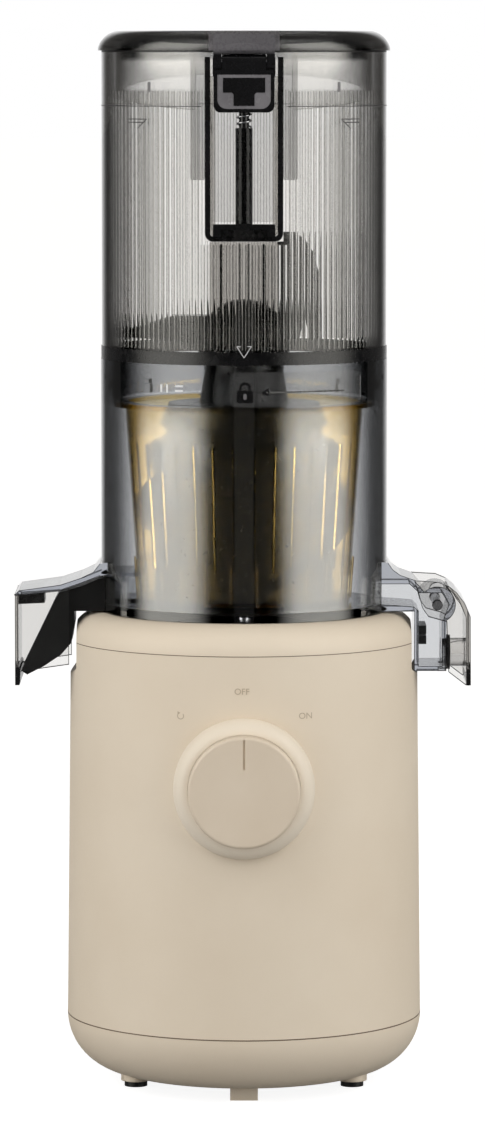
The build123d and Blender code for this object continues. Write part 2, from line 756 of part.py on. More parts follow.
def body_shell():
    shell = turned_points(
        (0, SHELL_Z), (BODY_R_LOW, SHELL_Z), (BODY_R_HIGH, HOUSING_Z), (0, HOUSING_Z)
    )
    shell += dial_collar() + along_y(GLAND_PAD_R, BODY_R_LOW / 2, GLAND_PAD_Y, 0, GLAND_Z)
    shell -= shell_hollow()
    shell -= side_flats()
    shell -= along_y(COLLAR_R - COLLAR_WALL, COLLAR_Y + COLLAR_WALL, -BODY_R_HIGH / 2, 0, DIAL_Z)
    shell -= along_y(KNOB_SHAFT_R + SLIP, COLLAR_Y, COLLAR_Y + COLLAR_WALL, 0, DIAL_Z)
    for x, z in switch_screw_places():
        shell -= along_y(SWITCH_SCREW_R + SNUG, COLLAR_Y, COLLAR_Y + COLLAR_WALL, x, z)
    shell -= along_y(GLAND_R + SNUG, BODY_R_LOW / 2, GLAND_PAD_Y, 0, GLAND_Z)
    for degrees in BASE_SCREW_ANGLES:
        lug = block(
            BASE_SCREW_R - SCREW_BOSS_R, BODY_R_LOW - BODY_WALL / 2, -SCREW_BOSS_R, SCREW_BOSS_R,
            SHELL_Z, SHELL_Z + LUG_THICKNESS,
        )
        shell += Rot(0, 0, degrees) * lug
    for x, y in base_screw_places():
        shell -= disc(SCREW_R + SNUG, SHELL_Z, SHELL_Z + LUG_THICKNESS, x, y)
    top = seam_boss_top()
    for x, y in seam_screw_places():
        shell += disc(SCREW_BOSS_R, top - SCREW_BOSS_R * 2, top, x, y)
        shell -= disc(SCREW_R + SNUG, top - SCREW_BOSS_R * 2, top, x, y)
    return shell


def top_housing():
    outline = [
        ThreePointArc(
            (BODY_R_HIGH, HOUSING_Z),
            (DECK_R + SHOULDER * QUARTER, HOUSING_Z + SHOULDER * QUARTER),
            (DECK_R, DECK_Z),
        ),
        Polyline(
            (DECK_R, DECK_Z),
            (0, DECK_Z),
            (0, DECK_UNDER_Z),
            (DECK_R, DECK_UNDER_Z),
            (THICK_R, HOUSING_Z + FLAT_WALL),
            (THICK_R, HOUSING_Z),
            (BODY_R_HIGH, HOUSING_Z),
        ),
    ]
    housing = turned(outline)
    spigot_r = THICK_R - SLIP
    housing += ring(spigot_r, spigot_r - SPIGOT_WALL, HOUSING_Z - SPIGOT_HEIGHT, HOUSING_Z + FLAT_WALL)
    housing += disc(NECK_R, deck_bearing_z(), DECK_Z + NECK_HEIGHT)
    housing -= side_flats()
    for x, y in seam_screw_places():
        housing += disc(SCREW_BOSS_R - 1 - SLIP, seam_boss_top(), DECK_UNDER_Z, x, y)
        housing -= disc(SCREW_R + SNUG, seam_boss_top(), DECK_UNDER_Z - 1, x, y)
    for x, y in post_places():
        housing += disc(POST_R, COVER_Z + COVER_THICKNESS + BUSH_THICKNESS, DECK_UNDER_Z, x, y)
        post_low = COVER_Z + COVER_THICKNESS + BUSH_THICKNESS
        housing -= disc(SCREW_R + SNUG, post_low, post_low + SCREW_LENGTH, x, y)
    housing += deck_keys()
    bearing_top = deck_bearing_z() + OUTPUT_BEARING_WIDTH
    housing -= disc(OUTPUT_BEARING_R + SNUG, deck_bearing_z(), bearing_top)
    housing -= disc(OUTPUT_R + 1, deck_bearing_z(), DECK_Z + NECK_HEIGHT)
    return housing - disc(SEAL_R + SNUG, DECK_Z + NECK_HEIGHT - SEAL_HEIGHT, DECK_Z + NECK_HEIGHT)


def deck_keys(clearance=0.0):
    """Keys on the deck that stop the bowl turning, or the sockets for them."""
    half_length = KEY_LENGTH / 2 + clearance
    half_width = KEY_WIDTH / 2 + clearance
    keys = []
    for number in range(KEY_COUNT):
        key = block(
            KEY_R - half_length, KEY_R + half_length, -half_width, half_width,
            DECK_Z, DECK_Z + KEY_HEIGHT + clearance,
        )
        keys.append(Rot(0, 0, 90 + 360 * number / KEY_COUNT) * key)
    return keys[0] + keys[1:]


def shaft_seal():
    high = DECK_Z + NECK_HEIGHT
    return ring(SEAL_R, OUTPUT_R + SLIP, high - SEAL_HEIGHT, high)


def base_cover():
    corner = BASE_FLAT_R
    inner = BASE_HEIGHT - BODY_WALL
    outline = [
        Polyline((0, BASE_Z + BODY_WALL), (0, BASE_Z), (corner, BASE_Z)),
        ThreePointArc(
            (corner, BASE_Z),
            (corner + BASE_HEIGHT * QUARTER, SHELL_Z - BASE_HEIGHT * QUARTER),
            (BODY_R_LOW, SHELL_Z),
        ),
        Line((BODY_R_LOW, SHELL_Z), (BODY_R_LOW - BODY_WALL, SHELL_Z)),
        ThreePointArc(
            (BODY_R_LOW - BODY_WALL, SHELL_Z),
            (corner + inner * QUARTER, SHELL_Z - inner * QUARTER),
            (corner, BASE_Z + BODY_WALL),
        ),
        Line((corner, BASE_Z + BODY_WALL), (0, BASE_Z + BODY_WALL)),
    ]
    cover = turned(outline)
    cover += base_spigot()
    for degrees in FOOT_ANGLES:
        x, y = polar(FOOT_CIRCLE_R, degrees)
        cover += disc(FOOT_BOSS_R, FOOT_SHOWS, BASE_Z + BODY_WALL + FOOT_DEPTH, x, y)
        cover -= disc(FOOT_R + SNUG, FOOT_SHOWS, FOOT_SHOWS + FOOT_DEPTH, x, y)
    for x, y in base_screw_places():
        cover += disc(SCREW_BOSS_R, BASE_Z, SHELL_Z, x, y)
        cover -= disc(SCREW_R + SNUG, BASE_Z, SHELL_Z, x, y)
        cover -= disc(SCREW_HEAD_R + SLIP, BASE_Z, base_screw_head_z() + SCREW_HEAD, x, y)
    for x, y in board_posts():
        cover += disc(BOARD_POST_R, BASE_Z + 1, BOARD_Z, x, y)
    cover += block(
        -TAB_WIDTH / 2, TAB_WIDTH / 2, TAB_Y - TAB_DEPTH / 2, TAB_Y + TAB_DEPTH / 2, 0, BASE_Z + 1
    )
    cover += disc(NUB_R, BASE_Z + 2, BASE_Z + 2 + NUB_HEIGHT, NUB_X, NUB_Y)
    for number in range(VENT_COUNT):
        x = (number - (VENT_COUNT - 1) / 2) * VENT_PITCH
        cover -= block(
            x - VENT_WIDTH / 2, x + VENT_WIDTH / 2, -VENT_LENGTH / 2, VENT_LENGTH / 2,
            BASE_Z, BASE_Z + BODY_WALL,
        )
    return cover


def base_spigot():
    """The lip that the base cover puts up inside the body."""
    outer = BODY_R_LOW - BODY_WALL - SLIP - SNUG
    lip = ring(outer, outer - SPIGOT_WALL, SHELL_Z - SPIGOT_HEIGHT, SHELL_Z + SPIGOT_HEIGHT)
    for degrees in BASE_SCREW_ANGLES:
        half = SCREW_BOSS_R + 1
        gap = block(BASE_SCREW_R - 2 * half, BODY_R_LOW, -half, half, SHELL_Z, SHELL_Z + FAR)
        lip -= Rot(0, 0, degrees) * gap
    return lip


def base_screw_head_z():
    return SHELL_Z + LUG_THICKNESS - SCREW_LENGTH - SCREW_HEAD - 0.5


def rubber_feet():
    feet = []
    for degrees in FOOT_ANGLES:
        x, y = polar(FOOT_CIRCLE_R, degrees)
        feet.append(disc(FOOT_R, 0, FOOT_SHOWS + FOOT_DEPTH, x, y))
    return together(feet)


def case_screws():
    post_head = COVER_Z - SCREW_HEAD
    screws = [screw(x, y, base_screw_head_z()) for x, y in base_screw_places()]
    screws += [screw(x, y, post_head) for x, y in post_places()]
    seam_head = seam_boss_top() - SCREW_BOSS_R * 2 - SCREW_HEAD
    screws += [screw(x, y, seam_head) for x, y in seam_screw_places()]
    return together(screws)


# ---- Dial, switch and electrics ------------------------------------------
def switch_screw_places():
    offset = SWITCH_SCREW_OFFSET
    return [(offset, DIAL_Z + offset), (-offset, DIAL_Z - offset)]


def control_knob():
    back = COLLAR_Y - SLIP
    knob = along_y(DIAL_R, DIAL_FACE_Y, back, 0, DIAL_Z)
    rim = knob.edges().filter_by(GeomType.CIRCLE).sort_by(Axis.Y)[0]
    knob = fillet(rim, DIAL_EDGE)
    knob -= along_y(DIAL_R - DIAL_WALL, DIAL_FACE_Y + DIAL_WALL, back, 0, DIAL_Z)
    knob += along_y(KNOB_HUB_R, DIAL_FACE_Y + 1, back - 1, 0, DIAL_Z)
    knob -= along_y(KNOB_SHAFT_R + SNUG, DIAL_FACE_Y + DIAL_WALL, back, 0, DIAL_Z)
    groove_top = DIAL_Z + DIAL_R - DIAL_EDGE
    return knob - block(
        -POINTER_WIDTH / 2, POINTER_WIDTH / 2, DIAL_FACE_Y, DIAL_FACE_Y + POINTER_DEPTH,
        groove_top - POINTER_LENGTH, groove_top,
    )


def switch_front_y():
    return COLLAR_Y + COLLAR_WALL


def knob_shaft():
    end = switch_front_y() + SWITCH_DEPTH - SWITCH_BACK
    return along_y(KNOB_SHAFT_R, DIAL_FACE_Y + DIAL_WALL, end, 0, DIAL_Z)


def rotary_switch():
    front = switch_front_y()
    body = block(
        -SWITCH_HALF, SWITCH_HALF, front, front + SWITCH_DEPTH,
        DIAL_Z - SWITCH_HALF, DIAL_Z + SWITCH_HALF,
    )
    back = front + SWITCH_DEPTH
    body -= along_y(KNOB_SHAFT_R + RUN, front, back - SWITCH_BACK + RUN, 0, DIAL_Z)
    for x, z in switch_screw_places():
        body -= along_y(SWITCH_SCREW_R + SNUG, front, front + SWITCH_DEPTH / 2, x, z)
    half = TERMINAL_WIDTH / 2
    high = DIAL_Z + TERMINAL_THICKNESS
    for number in range(TERMINALS):
        x = (number - (TERMINALS - 1) / 2) * 2 * SWITCH_HALF / TERMINALS
        body += block(x - half, x + half, back - 1, back + TERMINAL_LENGTH, DIAL_Z, high)
    return body


def switch_screws():
    screws = []
    for x, z in switch_screw_places():
        head = along_y(SWITCH_SCREW_HEAD_R, COLLAR_Y - SWITCH_SCREW_HEAD, COLLAR_Y, x, z)
        screws.append(head + along_y(SWITCH_SCREW_R, COLLAR_Y, switch_front_y() + SWITCH_DEPTH / 2, x, z))
    return together(screws)


def cord_gland():
    nut_y = BODY_R_LOW - BODY_WALL - 2 * GLAND_NUT
    gland = along_y(GLAND_R, nut_y, GLAND_END_Y - 2, 0, GLAND_Z)
    gland += along_y(GLAND_FLANGE_R, GLAND_PAD_Y, GLAND_PAD_Y + GLAND_FLANGE, 0, GLAND_Z)
    taper = Cone(GLAND_R + 1, GLAND_R - 1, GLAND_END_Y - GLAND_PAD_Y - 2, align=UPRIGHT)
    gland += Pos(0, GLAND_PAD_Y + 2, GLAND_Z) * Rot(-90, 0, 0) * taper
    gland += along_y(GLAND_FLANGE_R, nut_y, nut_y + GLAND_NUT, 0, GLAND_Z)
    return gland - along_y(CORD_HOLE_R, nut_y, GLAND_END_Y, 0, GLAND_Z)


def board_posts():
    x = BOARD_X / 2 - BOARD_INSET
    y = BOARD_Y / 2 - BOARD_INSET
    return [(sx * x, sy * y) for sx in (-1, 1) for sy in (-1, 1)]


def control_board():
    top = BOARD_Z + BOARD_THICKNESS
    board = block(-BOARD_X / 2, BOARD_X / 2, -BOARD_Y / 2, BOARD_Y / 2, BOARD_Z, top)
    for size, place in ((TRANSFORMER, TRANSFORMER_AT), (RELAY, RELAY_AT), (CONNECTOR, CONNECTOR_AT)):
        board += Pos(*place, top) * Box(*size, align=UPRIGHT)
    for y in CAPACITOR_YS:
        board += disc(CAPACITOR_R, top, top + CAPACITOR_HEIGHT, CAPACITOR_X, y)
    return board


def bowl_sensor():
    x, y, z = SENSOR_SIZE
    return block(-x / 2, x / 2, SENSOR_Y - y / 2, SENSOR_Y + y / 2, DECK_UNDER_Z - z, DECK_UNDER_Z)


# ---- Juicing bowl --------------------------------------------------------
def bowl_inside_x():
    """Where the spouts' solids end inside the bowl, before it is hollowed."""
    return BOWL_IN_R - 3


def juice_spout_outline():
    """The juice spout seen from the front, with a round roof about the cap's pin."""
    ear = CenterArc((CAP_PIN_X, CAP_PIN_Z), EAR_R, -60, 195)
    roof = SPOUT_ROOF_Z
    rest = Polyline(
        ear @ 1,
        (SPOUT_DROP_X, roof),
        (BOWL_R + 5.6, roof + 2.1),
        (BOWL_R + 2.4, roof + 4.4),
        (BOWL_R + SLIP, roof + 7.4),
        (bowl_inside_x(), roof + 8.0),
        (bowl_inside_x(), SPOUT_FLOOR_Z),
        (SPOUT_DROP_X, SPOUT_FLOOR_Z),
        (SPOUT_DROP_X, SPOUT_LOW_Z),
        (SPOUT_END_X, SPOUT_LOW_Z),
        ear @ 0,
    )
    return [ear, rest]


def juice_spout():
    return extrude(Plane.XZ * make_face(juice_spout_outline()), SPOUT_HALF, both=True)


def juice_duct():
    """The way the juice takes from the bowl to the mouth."""
    wall = SPOUT_WALL
    return across(
        SPOUT_HALF - wall,
        (bowl_inside_x(), FLOOR_Z),
        (SPOUT_DROP_X, SPOUT_FLOOR_Z + wall),
        (SPOUT_DROP_X + wall, SPOUT_FLOOR_Z),
        (SPOUT_DROP_X + wall, SPOUT_LOW_Z + wall),
        (SPOUT_END_X - wall, SPOUT_LOW_Z + wall),
        (SPOUT_END_X - wall, CAP_PIN_Z - EAR_R),
        (CAP_PIN_X + EAR_R - wall - 1, CAP_PIN_Z),
        (CAP_PIN_X + 2, CAP_PIN_Z + EAR_R - wall - 1),
        (CAP_PIN_X - 4, CAP_PIN_Z + EAR_R - wall - 1),
        (SPOUT_DROP_X + wall, CAP_PIN_Z + EAR_R - wall - 1),
        (SPOUT_DROP_X - wall, SPOUT_ROOF_Z - wall),
        (bowl_inside_x(), SPOUT_ROOF_Z - wall),
    )


def pulp_canopy():
    """The clear roof over the pulp outlet."""
    roof = SPOUT_ROOF_Z
    return across(
        CANOPY_HALF,
        (-bowl_inside_x(), roof + 8.0),
        (-BOWL_R - SLIP, roof + 7.2),
        (-BOWL_R - 3.1, roof + 3.6),
        (-FLAT_X + 1.8, roof + 1.0),
        (-FLAT_X - 7.2, roof - 2.0),
        (CANOPY_END_X + 2, roof - 4.4),
        (CANOPY_END_X, roof - 6.4),
        (-FLAT_X - 7.2, roof - 4.4),
        (-FLAT_X + 1.8, roof - 1.4),
        (-BOWL_R, roof + 2.0),
        (-bowl_inside_x(), roof + 3.0),
    )


def strainer_cone(extra=0.0):
    height = STRAINER_TOP_Z - FLOOR_Z
    cone = Cone(STRAINER_R_LOW + extra, STRAINER_R_HIGH + extra, height, align=UPRIGHT)
    return Pos(0, 0, FLOOR_Z) * cone


def pulp_tunnel():
    """A box that carries the pulp from the strainer through the bowl's wall."""
    low = DECK_Z
    inner = TUNNEL_OVERLAP - STRAINER_R_LOW
    box = block(-BOWL_R, inner, -TUNNEL_HALF, TUNNEL_HALF, low, TUNNEL_TOP_Z)
    return (box & disc(BOWL_R, low, TUNNEL_TOP_Z)) - strainer_cone(SLIP)


def pulp_passage():
    half = TUNNEL_HALF - TUNNEL_WALL
    return block(
        -BOWL_R - 2, TUNNEL_OVERLAP + 2 - STRAINER_R_LOW, -half, half,
        FLOOR_Z + TUNNEL_WALL, TUNNEL_TOP_Z - TUNNEL_WALL,
    )


def bowl_hub():
    chimney = disc(CHIMNEY_R, DECK_Z, CHIMNEY_TOP_Z)
    chimney -= disc(NECK_R + SLIP, DECK_Z, CHIMNEY_TOP_Z - CHIMNEY_TOP)
    chimney -= disc(SLEEVE_R + SLIP, DECK_Z, CHIMNEY_TOP_Z)
    return chimney - disc(BOWL_SEAL_R + SNUG, CHIMNEY_TOP_Z - BOWL_SEAL_HEIGHT, CHIMNEY_TOP_Z)


def lug_middles():
    return [90 + 360 * number / RIB_COUNT for number in range(RIB_COUNT)]


def juicing_bowl():
    rim_z = HOPPER_Z - SNUG
    bowl = disc(BOWL_R, DECK_Z, rim_z) + juice_spout() + pulp_canopy()
    bowl -= disc(BOWL_IN_R, FLOOR_Z, rim_z + 1)
    bowl -= juice_duct()
    bowl += pulp_tunnel()
    bowl -= pulp_passage()
    bowl -= disc(CHIMNEY_R - 1, DECK_Z, FLOOR_Z)
    bowl += bowl_hub()
    rib_z = HOPPER_Z - RIB_DROP
    for middle in lug_middles():
        bowl += sector(BOWL_IN_R + 1, BOWL_IN_R - RIB_DEPTH, rib_z, rib_z + RIB_HEIGHT, middle, RIB_ARC)
    bowl -= deck_keys(SLIP)
    bowl -= disc(MAGNET_R + SNUG, DECK_Z, DECK_Z + MAGNET_HEIGHT + SNUG, 0, SENSOR_Y)
    bowl -= along_x(MOUTH_R, SPOUT_END_X - SPOUT_WALL - 1, SPOUT_END_X + 1, 0, MOUTH_Z)
    return bowl - along_y(CAP_PIN_R + SNUG, -SPOUT_HALF, SPOUT_HALF, CAP_PIN_X, CAP_PIN_Z)


def bowl_seal():
    return ring(BOWL_SEAL_R, SLEEVE_R + SLIP, CHIMNEY_TOP_Z - BOWL_SEAL_HEIGHT, CHIMNEY_TOP_Z)


def bowl_magnet():
    return disc(MAGNET_R, DECK_Z + SNUG, DECK_Z + MAGNET_HEIGHT, 0, SENSOR_Y)


def spout_packing():
    """Silicone pads on the juice spout's inner wall."""
    x = SPOUT_DROP_X + SPOUT_WALL
    low = SPOUT_LOW_Z + PAD_LIFT
    pads = [
        block(x, x + PAD_THICKNESS, -PAD_HALF, PAD_HALF, z, z + PAD_HEIGHT)
        for z in (low, low + PAD_HEIGHT + PAD_GAP)
    ]
    return together(pads)


def juice_cap_pin():
    half = SPOUT_HALF + SLIP + CAP_WALL
    return along_y(CAP_PIN_R, -half, half, CAP_PIN_X, CAP_PIN_Z)


def cap_outline():
    """The cap seen from the front, mostly as steps out from its pin and up from the deck."""
    x = CAP_PIN_X
    z = DECK_Z
    return [
        (SPOUT_DROP_X - 0.2, SPOUT_ROOF_Z),
        (x + 0.3, SPOUT_ROOF_Z - 0.6),
        (x + 5.0, z + 12.0),
        (x + 8.4, z + 9.2),
        (x + 11.9, z + 4.6),
        (CAP_FACE_X - 0.2, z - 1.3),
        (CAP_FACE_X, CAP_LOW_Z),
        (CAP_FACE_X - 2.2, CAP_LOW_Z),
        (SPOUT_END_X + 0.8, SPOUT_LOW_Z - 0.2),
        (SPOUT_END_X, z - 3.6),
        (x - 4.0, z - 1.4),
        (x - 6.7, z + 2.5),
        (x - 8.0, z + 7.7),
    ]


def cap_hollow():
    """What lies between the cap's cheeks, inside its roof and its face."""
    z = DECK_Z
    inner_face = CAP_FACE_X - CAP_WALL
    hollow = across(
        SPOUT_HALF + SLIP,
        (SPOUT_DROP_X - 2, SPOUT_ROOF_Z + 2),
        (CAP_ROOF_START_X, SPOUT_ROOF_Z + 2),
        (CAP_ROOF_START_X, z + 10.0),
        (CAP_PIN_X + 7.0, z + 7.8),
        (CAP_PIN_X + 10.0, z + 3.8),
        (inner_face - 0.2, z - 1.7),
        (inner_face, CAP_LOW_Z - 1),
        (SPOUT_DROP_X - 2, CAP_LOW_Z - 1),
    )
    return hollow + along_y(EAR_R + SLIP, -SPOUT_HALF - SLIP, SPOUT_HALF + SLIP, CAP_PIN_X, CAP_PIN_Z)


def juice_cap():
    cap = across(SPOUT_HALF + SLIP + CAP_WALL, *cap_outline()) - cap_hollow()
    cap += along_x(MOUTH_R - SLIP, SPOUT_END_X - PLUG_INSERT, CAP_FACE_X - 1, 0, MOUTH_Z)
    half = SPOUT_HALF + SLIP + CAP_WALL
    return cap - along_y(CAP_PIN_R + RUN, -half, half, CAP_PIN_X, CAP_PIN_Z)


def juice_cap_seal():
    start = SPOUT_END_X + SNUG * 5
    outer = along_x(CAP_SEAL_R, start, start + CAP_SEAL_WIDTH, 0, MOUTH_Z)
    return outer - along_x(MOUTH_R - SLIP + SNUG, start, start + CAP_SEAL_WIDTH, 0, MOUTH_Z)


# ---- Pulp spout ----------------------------------------------------------
def pulp_side(*points):
    """Outline points from steps out past the flat and up from the deck."""
    return [(-(FLAT_X + out), DECK_Z + up) for out, up in points]


def pulp_chute():
    """A black wedge that leads the pulp out and down; its upper end fits round the bowl."""
    inside = 5 + FLAT_X - BOWL_R
    at_bowl = 0.8 + BOWL_R - FLAT_X
    shell = across(
        CHUTE_HALF,
        *pulp_side(
            (-inside, 15.5), (at_bowl, 14.8), (-2.8, 11.8), (7.6, 8.8), (24.2, -25.3), (21.6, -27.1),
            (14.2, -23.3), (6.8, -18.3), (2.4, -13.3), (1.1, -5.3), (1.1, 0.7), (-inside, 0.7),
        ),
    )
    bore = across(
        CHUTE_HALF - CHUTE_WALL,
        *pulp_side(
            (-inside, 13.4), (-1.8, 9.4), (9.8, 5.8), (26.7, -25.1), (23.2, -25.3), (20.8, -24.7),
            (13.4, -21.2), (8.2, -17.7), (4.3, -12.5), (3.1, -4.9), (3.1, 5.0), (-inside, 5.5),
        ),
    )
    return shell - bore - disc(BOWL_R + SNUG * 5, DECK_Z - 1, FAR)


def pulp_hood():
    """The clear hood that keeps the pulp's fall narrow."""
    roof = SPOUT_ROOF_Z
    outer = across(
        HOOD_HALF,
        (HOOD_FACE_X, roof - 6.5),
        (-FLAT_X - 7.2, roof - 4.5),
        (HOOD_INNER_X, roof - 3.2),
        (HOOD_INNER_X, DECK_Z - 22.3),
        (HOOD_FACE_X + 2.5, DECK_Z - 25.3),
        (HOOD_FACE_X + 1.8, HOOD_LOW_Z),
        (HOOD_FACE_X, HOOD_LOW_Z),
    )
    inner = across(
        HOOD_HALF - HOOD_WALL,
        (HOOD_FACE_X + HOOD_WALL, roof + 2),
        (HOOD_INNER_X + 2, roof + 2),
        (HOOD_INNER_X + 2, DECK_Z - 30),
        (HOOD_FACE_X + HOOD_WALL, DECK_Z - 30),
    )
    return outer - inner


def hood_clip():
    roof = SPOUT_ROOF_Z
    left = HOOD_FACE_X + HOOD_WALL
    return across(
        CLIP_HALF,
        (left, roof - 6.5),
        (left + CLIP_LENGTH, roof - 5.4),
        (left + CLIP_LENGTH, roof - 6.0 - CLIP_HEIGHT),
        (left, roof - 6.5 - CLIP_HEIGHT),
    )


# ---- Strainer, auger and feed wing ---------------------------------------
def strainer():
    inner_low = STRAINER_R_LOW - STRAINER_WALL
    inner_high = STRAINER_R_HIGH - STRAINER_WALL
    height = STRAINER_TOP_Z - FLOOR_Z
    cup = strainer_cone()
    cup += ring(STRAINER_FLANGE_R, STRAINER_R_LOW, STRAINER_TOP_Z - STRAINER_FLANGE, STRAINER_TOP_Z)
    room = Pos(0, 0, FLOOR_Z) * Cone(inner_low, inner_high, height, align=UPRIGHT)
    cup -= room - disc(STRAINER_R_HIGH, FLOOR_Z, FLOOR_Z + STRAINER_FLOOR)
    cup -= disc(CHIMNEY_R + SLIP, FLOOR_Z, FLOOR_Z + STRAINER_FLOOR)
    low = FLOOR_Z + STRAINER_FLOOR
    slot = block(
        STRAINER_R_LOW - 5, STRAINER_R_HIGH + 1, -STRAINER_SLOT / 2, STRAINER_SLOT / 2,
        low + SLOT_LIFT, STRAINER_TOP_Z - SLOT_MARGIN,
    )
    cup -= [Rot(0, 0, 360 * (number + 0.5) / STRAINER_SLOTS) * slot for number in range(STRAINER_SLOTS)]
    half = TUNNEL_HALF - TUNNEL_WALL - 1
    return cup - block(
        -STRAINER_R_HIGH, 5 - STRAINER_R_LOW, -half, half, low, TUNNEL_TOP_Z - TUNNEL_WALL - 1
    )


def auger_low_z():
    return FLOOR_Z + STRAINER_FLOOR + 2 * SLIP


def auger_flights(low, high):
    """Two helical flights that nearly touch the strainer: shallow threads below, deep feeding flights above."""
    prism = Solid.extrude_linear_with_rotation(
        Rectangle(2 * STRAINER_R_HIGH, FLIGHT).face(), (0, 0, 0), (0, 0, high - low), FLIGHT_TURN_DEG
    )
    reach = STRAINER_WALL + AUGER_CLEAR
    slope = (STRAINER_R_HIGH - STRAINER_R_LOW) / (STRAINER_TOP_Z - FLOOR_Z)
    r_low = STRAINER_R_LOW - reach + slope * (low - FLOOR_Z)
    r_high = STRAINER_R_LOW - reach + slope * (high - FLOOR_Z)
    flights = prism & Cone(r_low, r_high, high - low, align=UPRIGHT)
    return Pos(0, 0, low) * Rot(0, 0, FLIGHT_START_DEG) * flights


def auger():
    low = auger_low_z()
    high = STRAINER_TOP_Z
    top = HOPPER_Z + WING_LIFT
    core_r = STRAINER_R_LOW - STRAINER_WALL - AUGER_CLEAR - THREAD_DEPTH
    body = turned_points(
        (0, low),
        (core_r, low),
        (core_r, high - AUGER_SHOULDER_DROP),
        (AUGER_R_NECK, high - AUGER_NECK_DROP),
        (AUGER_R_HIGH, top),
        (0, top),
    )
    body += auger_flights(low, high)
    body -= disc(CHIMNEY_R + 2 * SLIP, low, CHIMNEY_TOP_Z + 2 * SLIP)
    sleeve_low = DECK_Z + NECK_HEIGHT + 1
    body += disc(SLEEVE_R, sleeve_low, CHIMNEY_TOP_Z + 5)
    socket = extrude(RegularPolygon(HEX_FLATS / 2 + SLIP / 2, 6, major_radius=False), SOCKET_DEPTH)
    body -= Pos(0, 0, sleeve_low) * socket
    return body + block(-PEG / 2, PEG / 2, -PEG / 2, PEG / 2, top, top + PEG_HEIGHT)


def wing_blade():
    """The tall curved blade that pulls the fruit down, notched at its foot."""
    low = HOPPER_Z + BLADE_LIFT
    radius = BLADE_OUT_X - BLADE_IN_X
    half = BLADE_THICKNESS / 2
    blade = sector(radius + half, radius - half, low, BLADE_TOP_Z, 45, 90)
    blade = Pos(BLADE_IN_X - half, -radius / 2, 0) * blade
    top = BLADE_TOP_Z
    shoulder = across(
        FAR / 2,
        (BLADE_OUT_X - 12, top + 1),
        (BLADE_OUT_X - 6, top - 3),
        (BLADE_OUT_X - 2, top - 9),
        (BLADE_OUT_X, top - 18),
        (BLADE_OUT_X + 9, top - 18),
        (BLADE_OUT_X + 9, top + 1),
    )
    notch = across(
        FAR / 2,
        (BLADE_OUT_X - 8.5, low - 1),
        (BLADE_OUT_X - 6.3, low + 11),
        (BLADE_OUT_X - 3.7, low - 1),
    )
    return blade - shoulder - notch


def feed_wing():
    low = HOPPER_Z + WING_LIFT
    dome_z = low + WING_HUB_RIM
    hub = turned(
        [
            Polyline((0, dome_z + WING_HUB_R), (0, low), (WING_HUB_R, low), (WING_HUB_R, dome_z)),
            ThreePointArc(
                (WING_HUB_R, dome_z),
                (WING_HUB_R * QUARTER, dome_z + WING_HUB_R * QUARTER),
                (0, dome_z + WING_HUB_R),
            ),
        ]
    )
    arm = across(
        ARM_THICKNESS,
        (0, low + 3),
        (-ARM_REACH, low + 8),
        (-ARM_REACH + 2, low + 11),
        (-ARM_REACH / 2 - 4, low + ARM_HEIGHT),
        (0, low + ARM_HEIGHT),
    )
    wing = hub + arm + wing_blade()
    half = PEG / 2 + SNUG * 5
    return wing - block(-half, half, -half, half, low, low + PEG_HEIGHT + SLIP)


# ---- Hopper --------------------------------------------------------------
def hopper():
    band_in_r = BAND_R - BAND_WALL - SNUG * 5
    spigot_low = HOPPER_Z - SPIGOT_DROP
    band_top = HOPPER_Z + BAND_HEIGHT
    tub = turned_points(
        (SPIGOT_IN_R, spigot_low),
        (SPIGOT_R, spigot_low),
        (SPIGOT_R, HOPPER_Z),
        (band_in_r, HOPPER_Z),
        (band_in_r, band_top),
        (HOPPER_R, band_top),
        (HOPPER_R, RIM_Z),
        (HOPPER_IN_R, RIM_Z),
        (HOPPER_IN_R, band_top - HOPPER_WALL),
        (SPIGOT_IN_R, band_top - HOPPER_WALL),
    )
    tub += niche_box() & disc(HOPPER_R, NICHE_Z, RIM_Z)
    tub -= niche_room()
    tub += catch_ledges()
    tub -= disc(ROD_R + SLIP, NICHE_Z, NICHE_FLOOR_Z, 0, ROD_Y)
    lug_z = HOPPER_Z - RIB_DROP - SLIP - LUG_HEIGHT
    for middle in lug_middles():
        tub += sector(SPIGOT_R + LUG_REACH, SPIGOT_R - 1, lug_z, lug_z + LUG_HEIGHT, middle, RIB_ARC)
    return tub + hinge_lugs()


def niche_box():
    return block(-NICHE_HALF, NICHE_HALF, -HOPPER_R, NICHE_BACK_Y, NICHE_Z, RIM_Z - NICHE_WALL)


def niche_room():
    half = NICHE_HALF - NICHE_WALL
    return block(-half, half, -HOPPER_R - 5, NICHE_BACK_Y - NICHE_WALL, NICHE_FLOOR_Z, RIM_Z + 1)


def catch_ledges():
    """Two ledges in the niche that the latch's noses close under."""
    half = NICHE_HALF - NICHE_WALL
    low = LATCH_BOTTOM_Z + NOSE_HEIGHT + SLIP
    ledge = block(CATCH_INNER_X, half + 1, CATCH_Y, CATCH_Y + CATCH_DEPTH, low, low + CATCH_HEIGHT)
    return ledge + mirror(ledge, Plane.YZ)


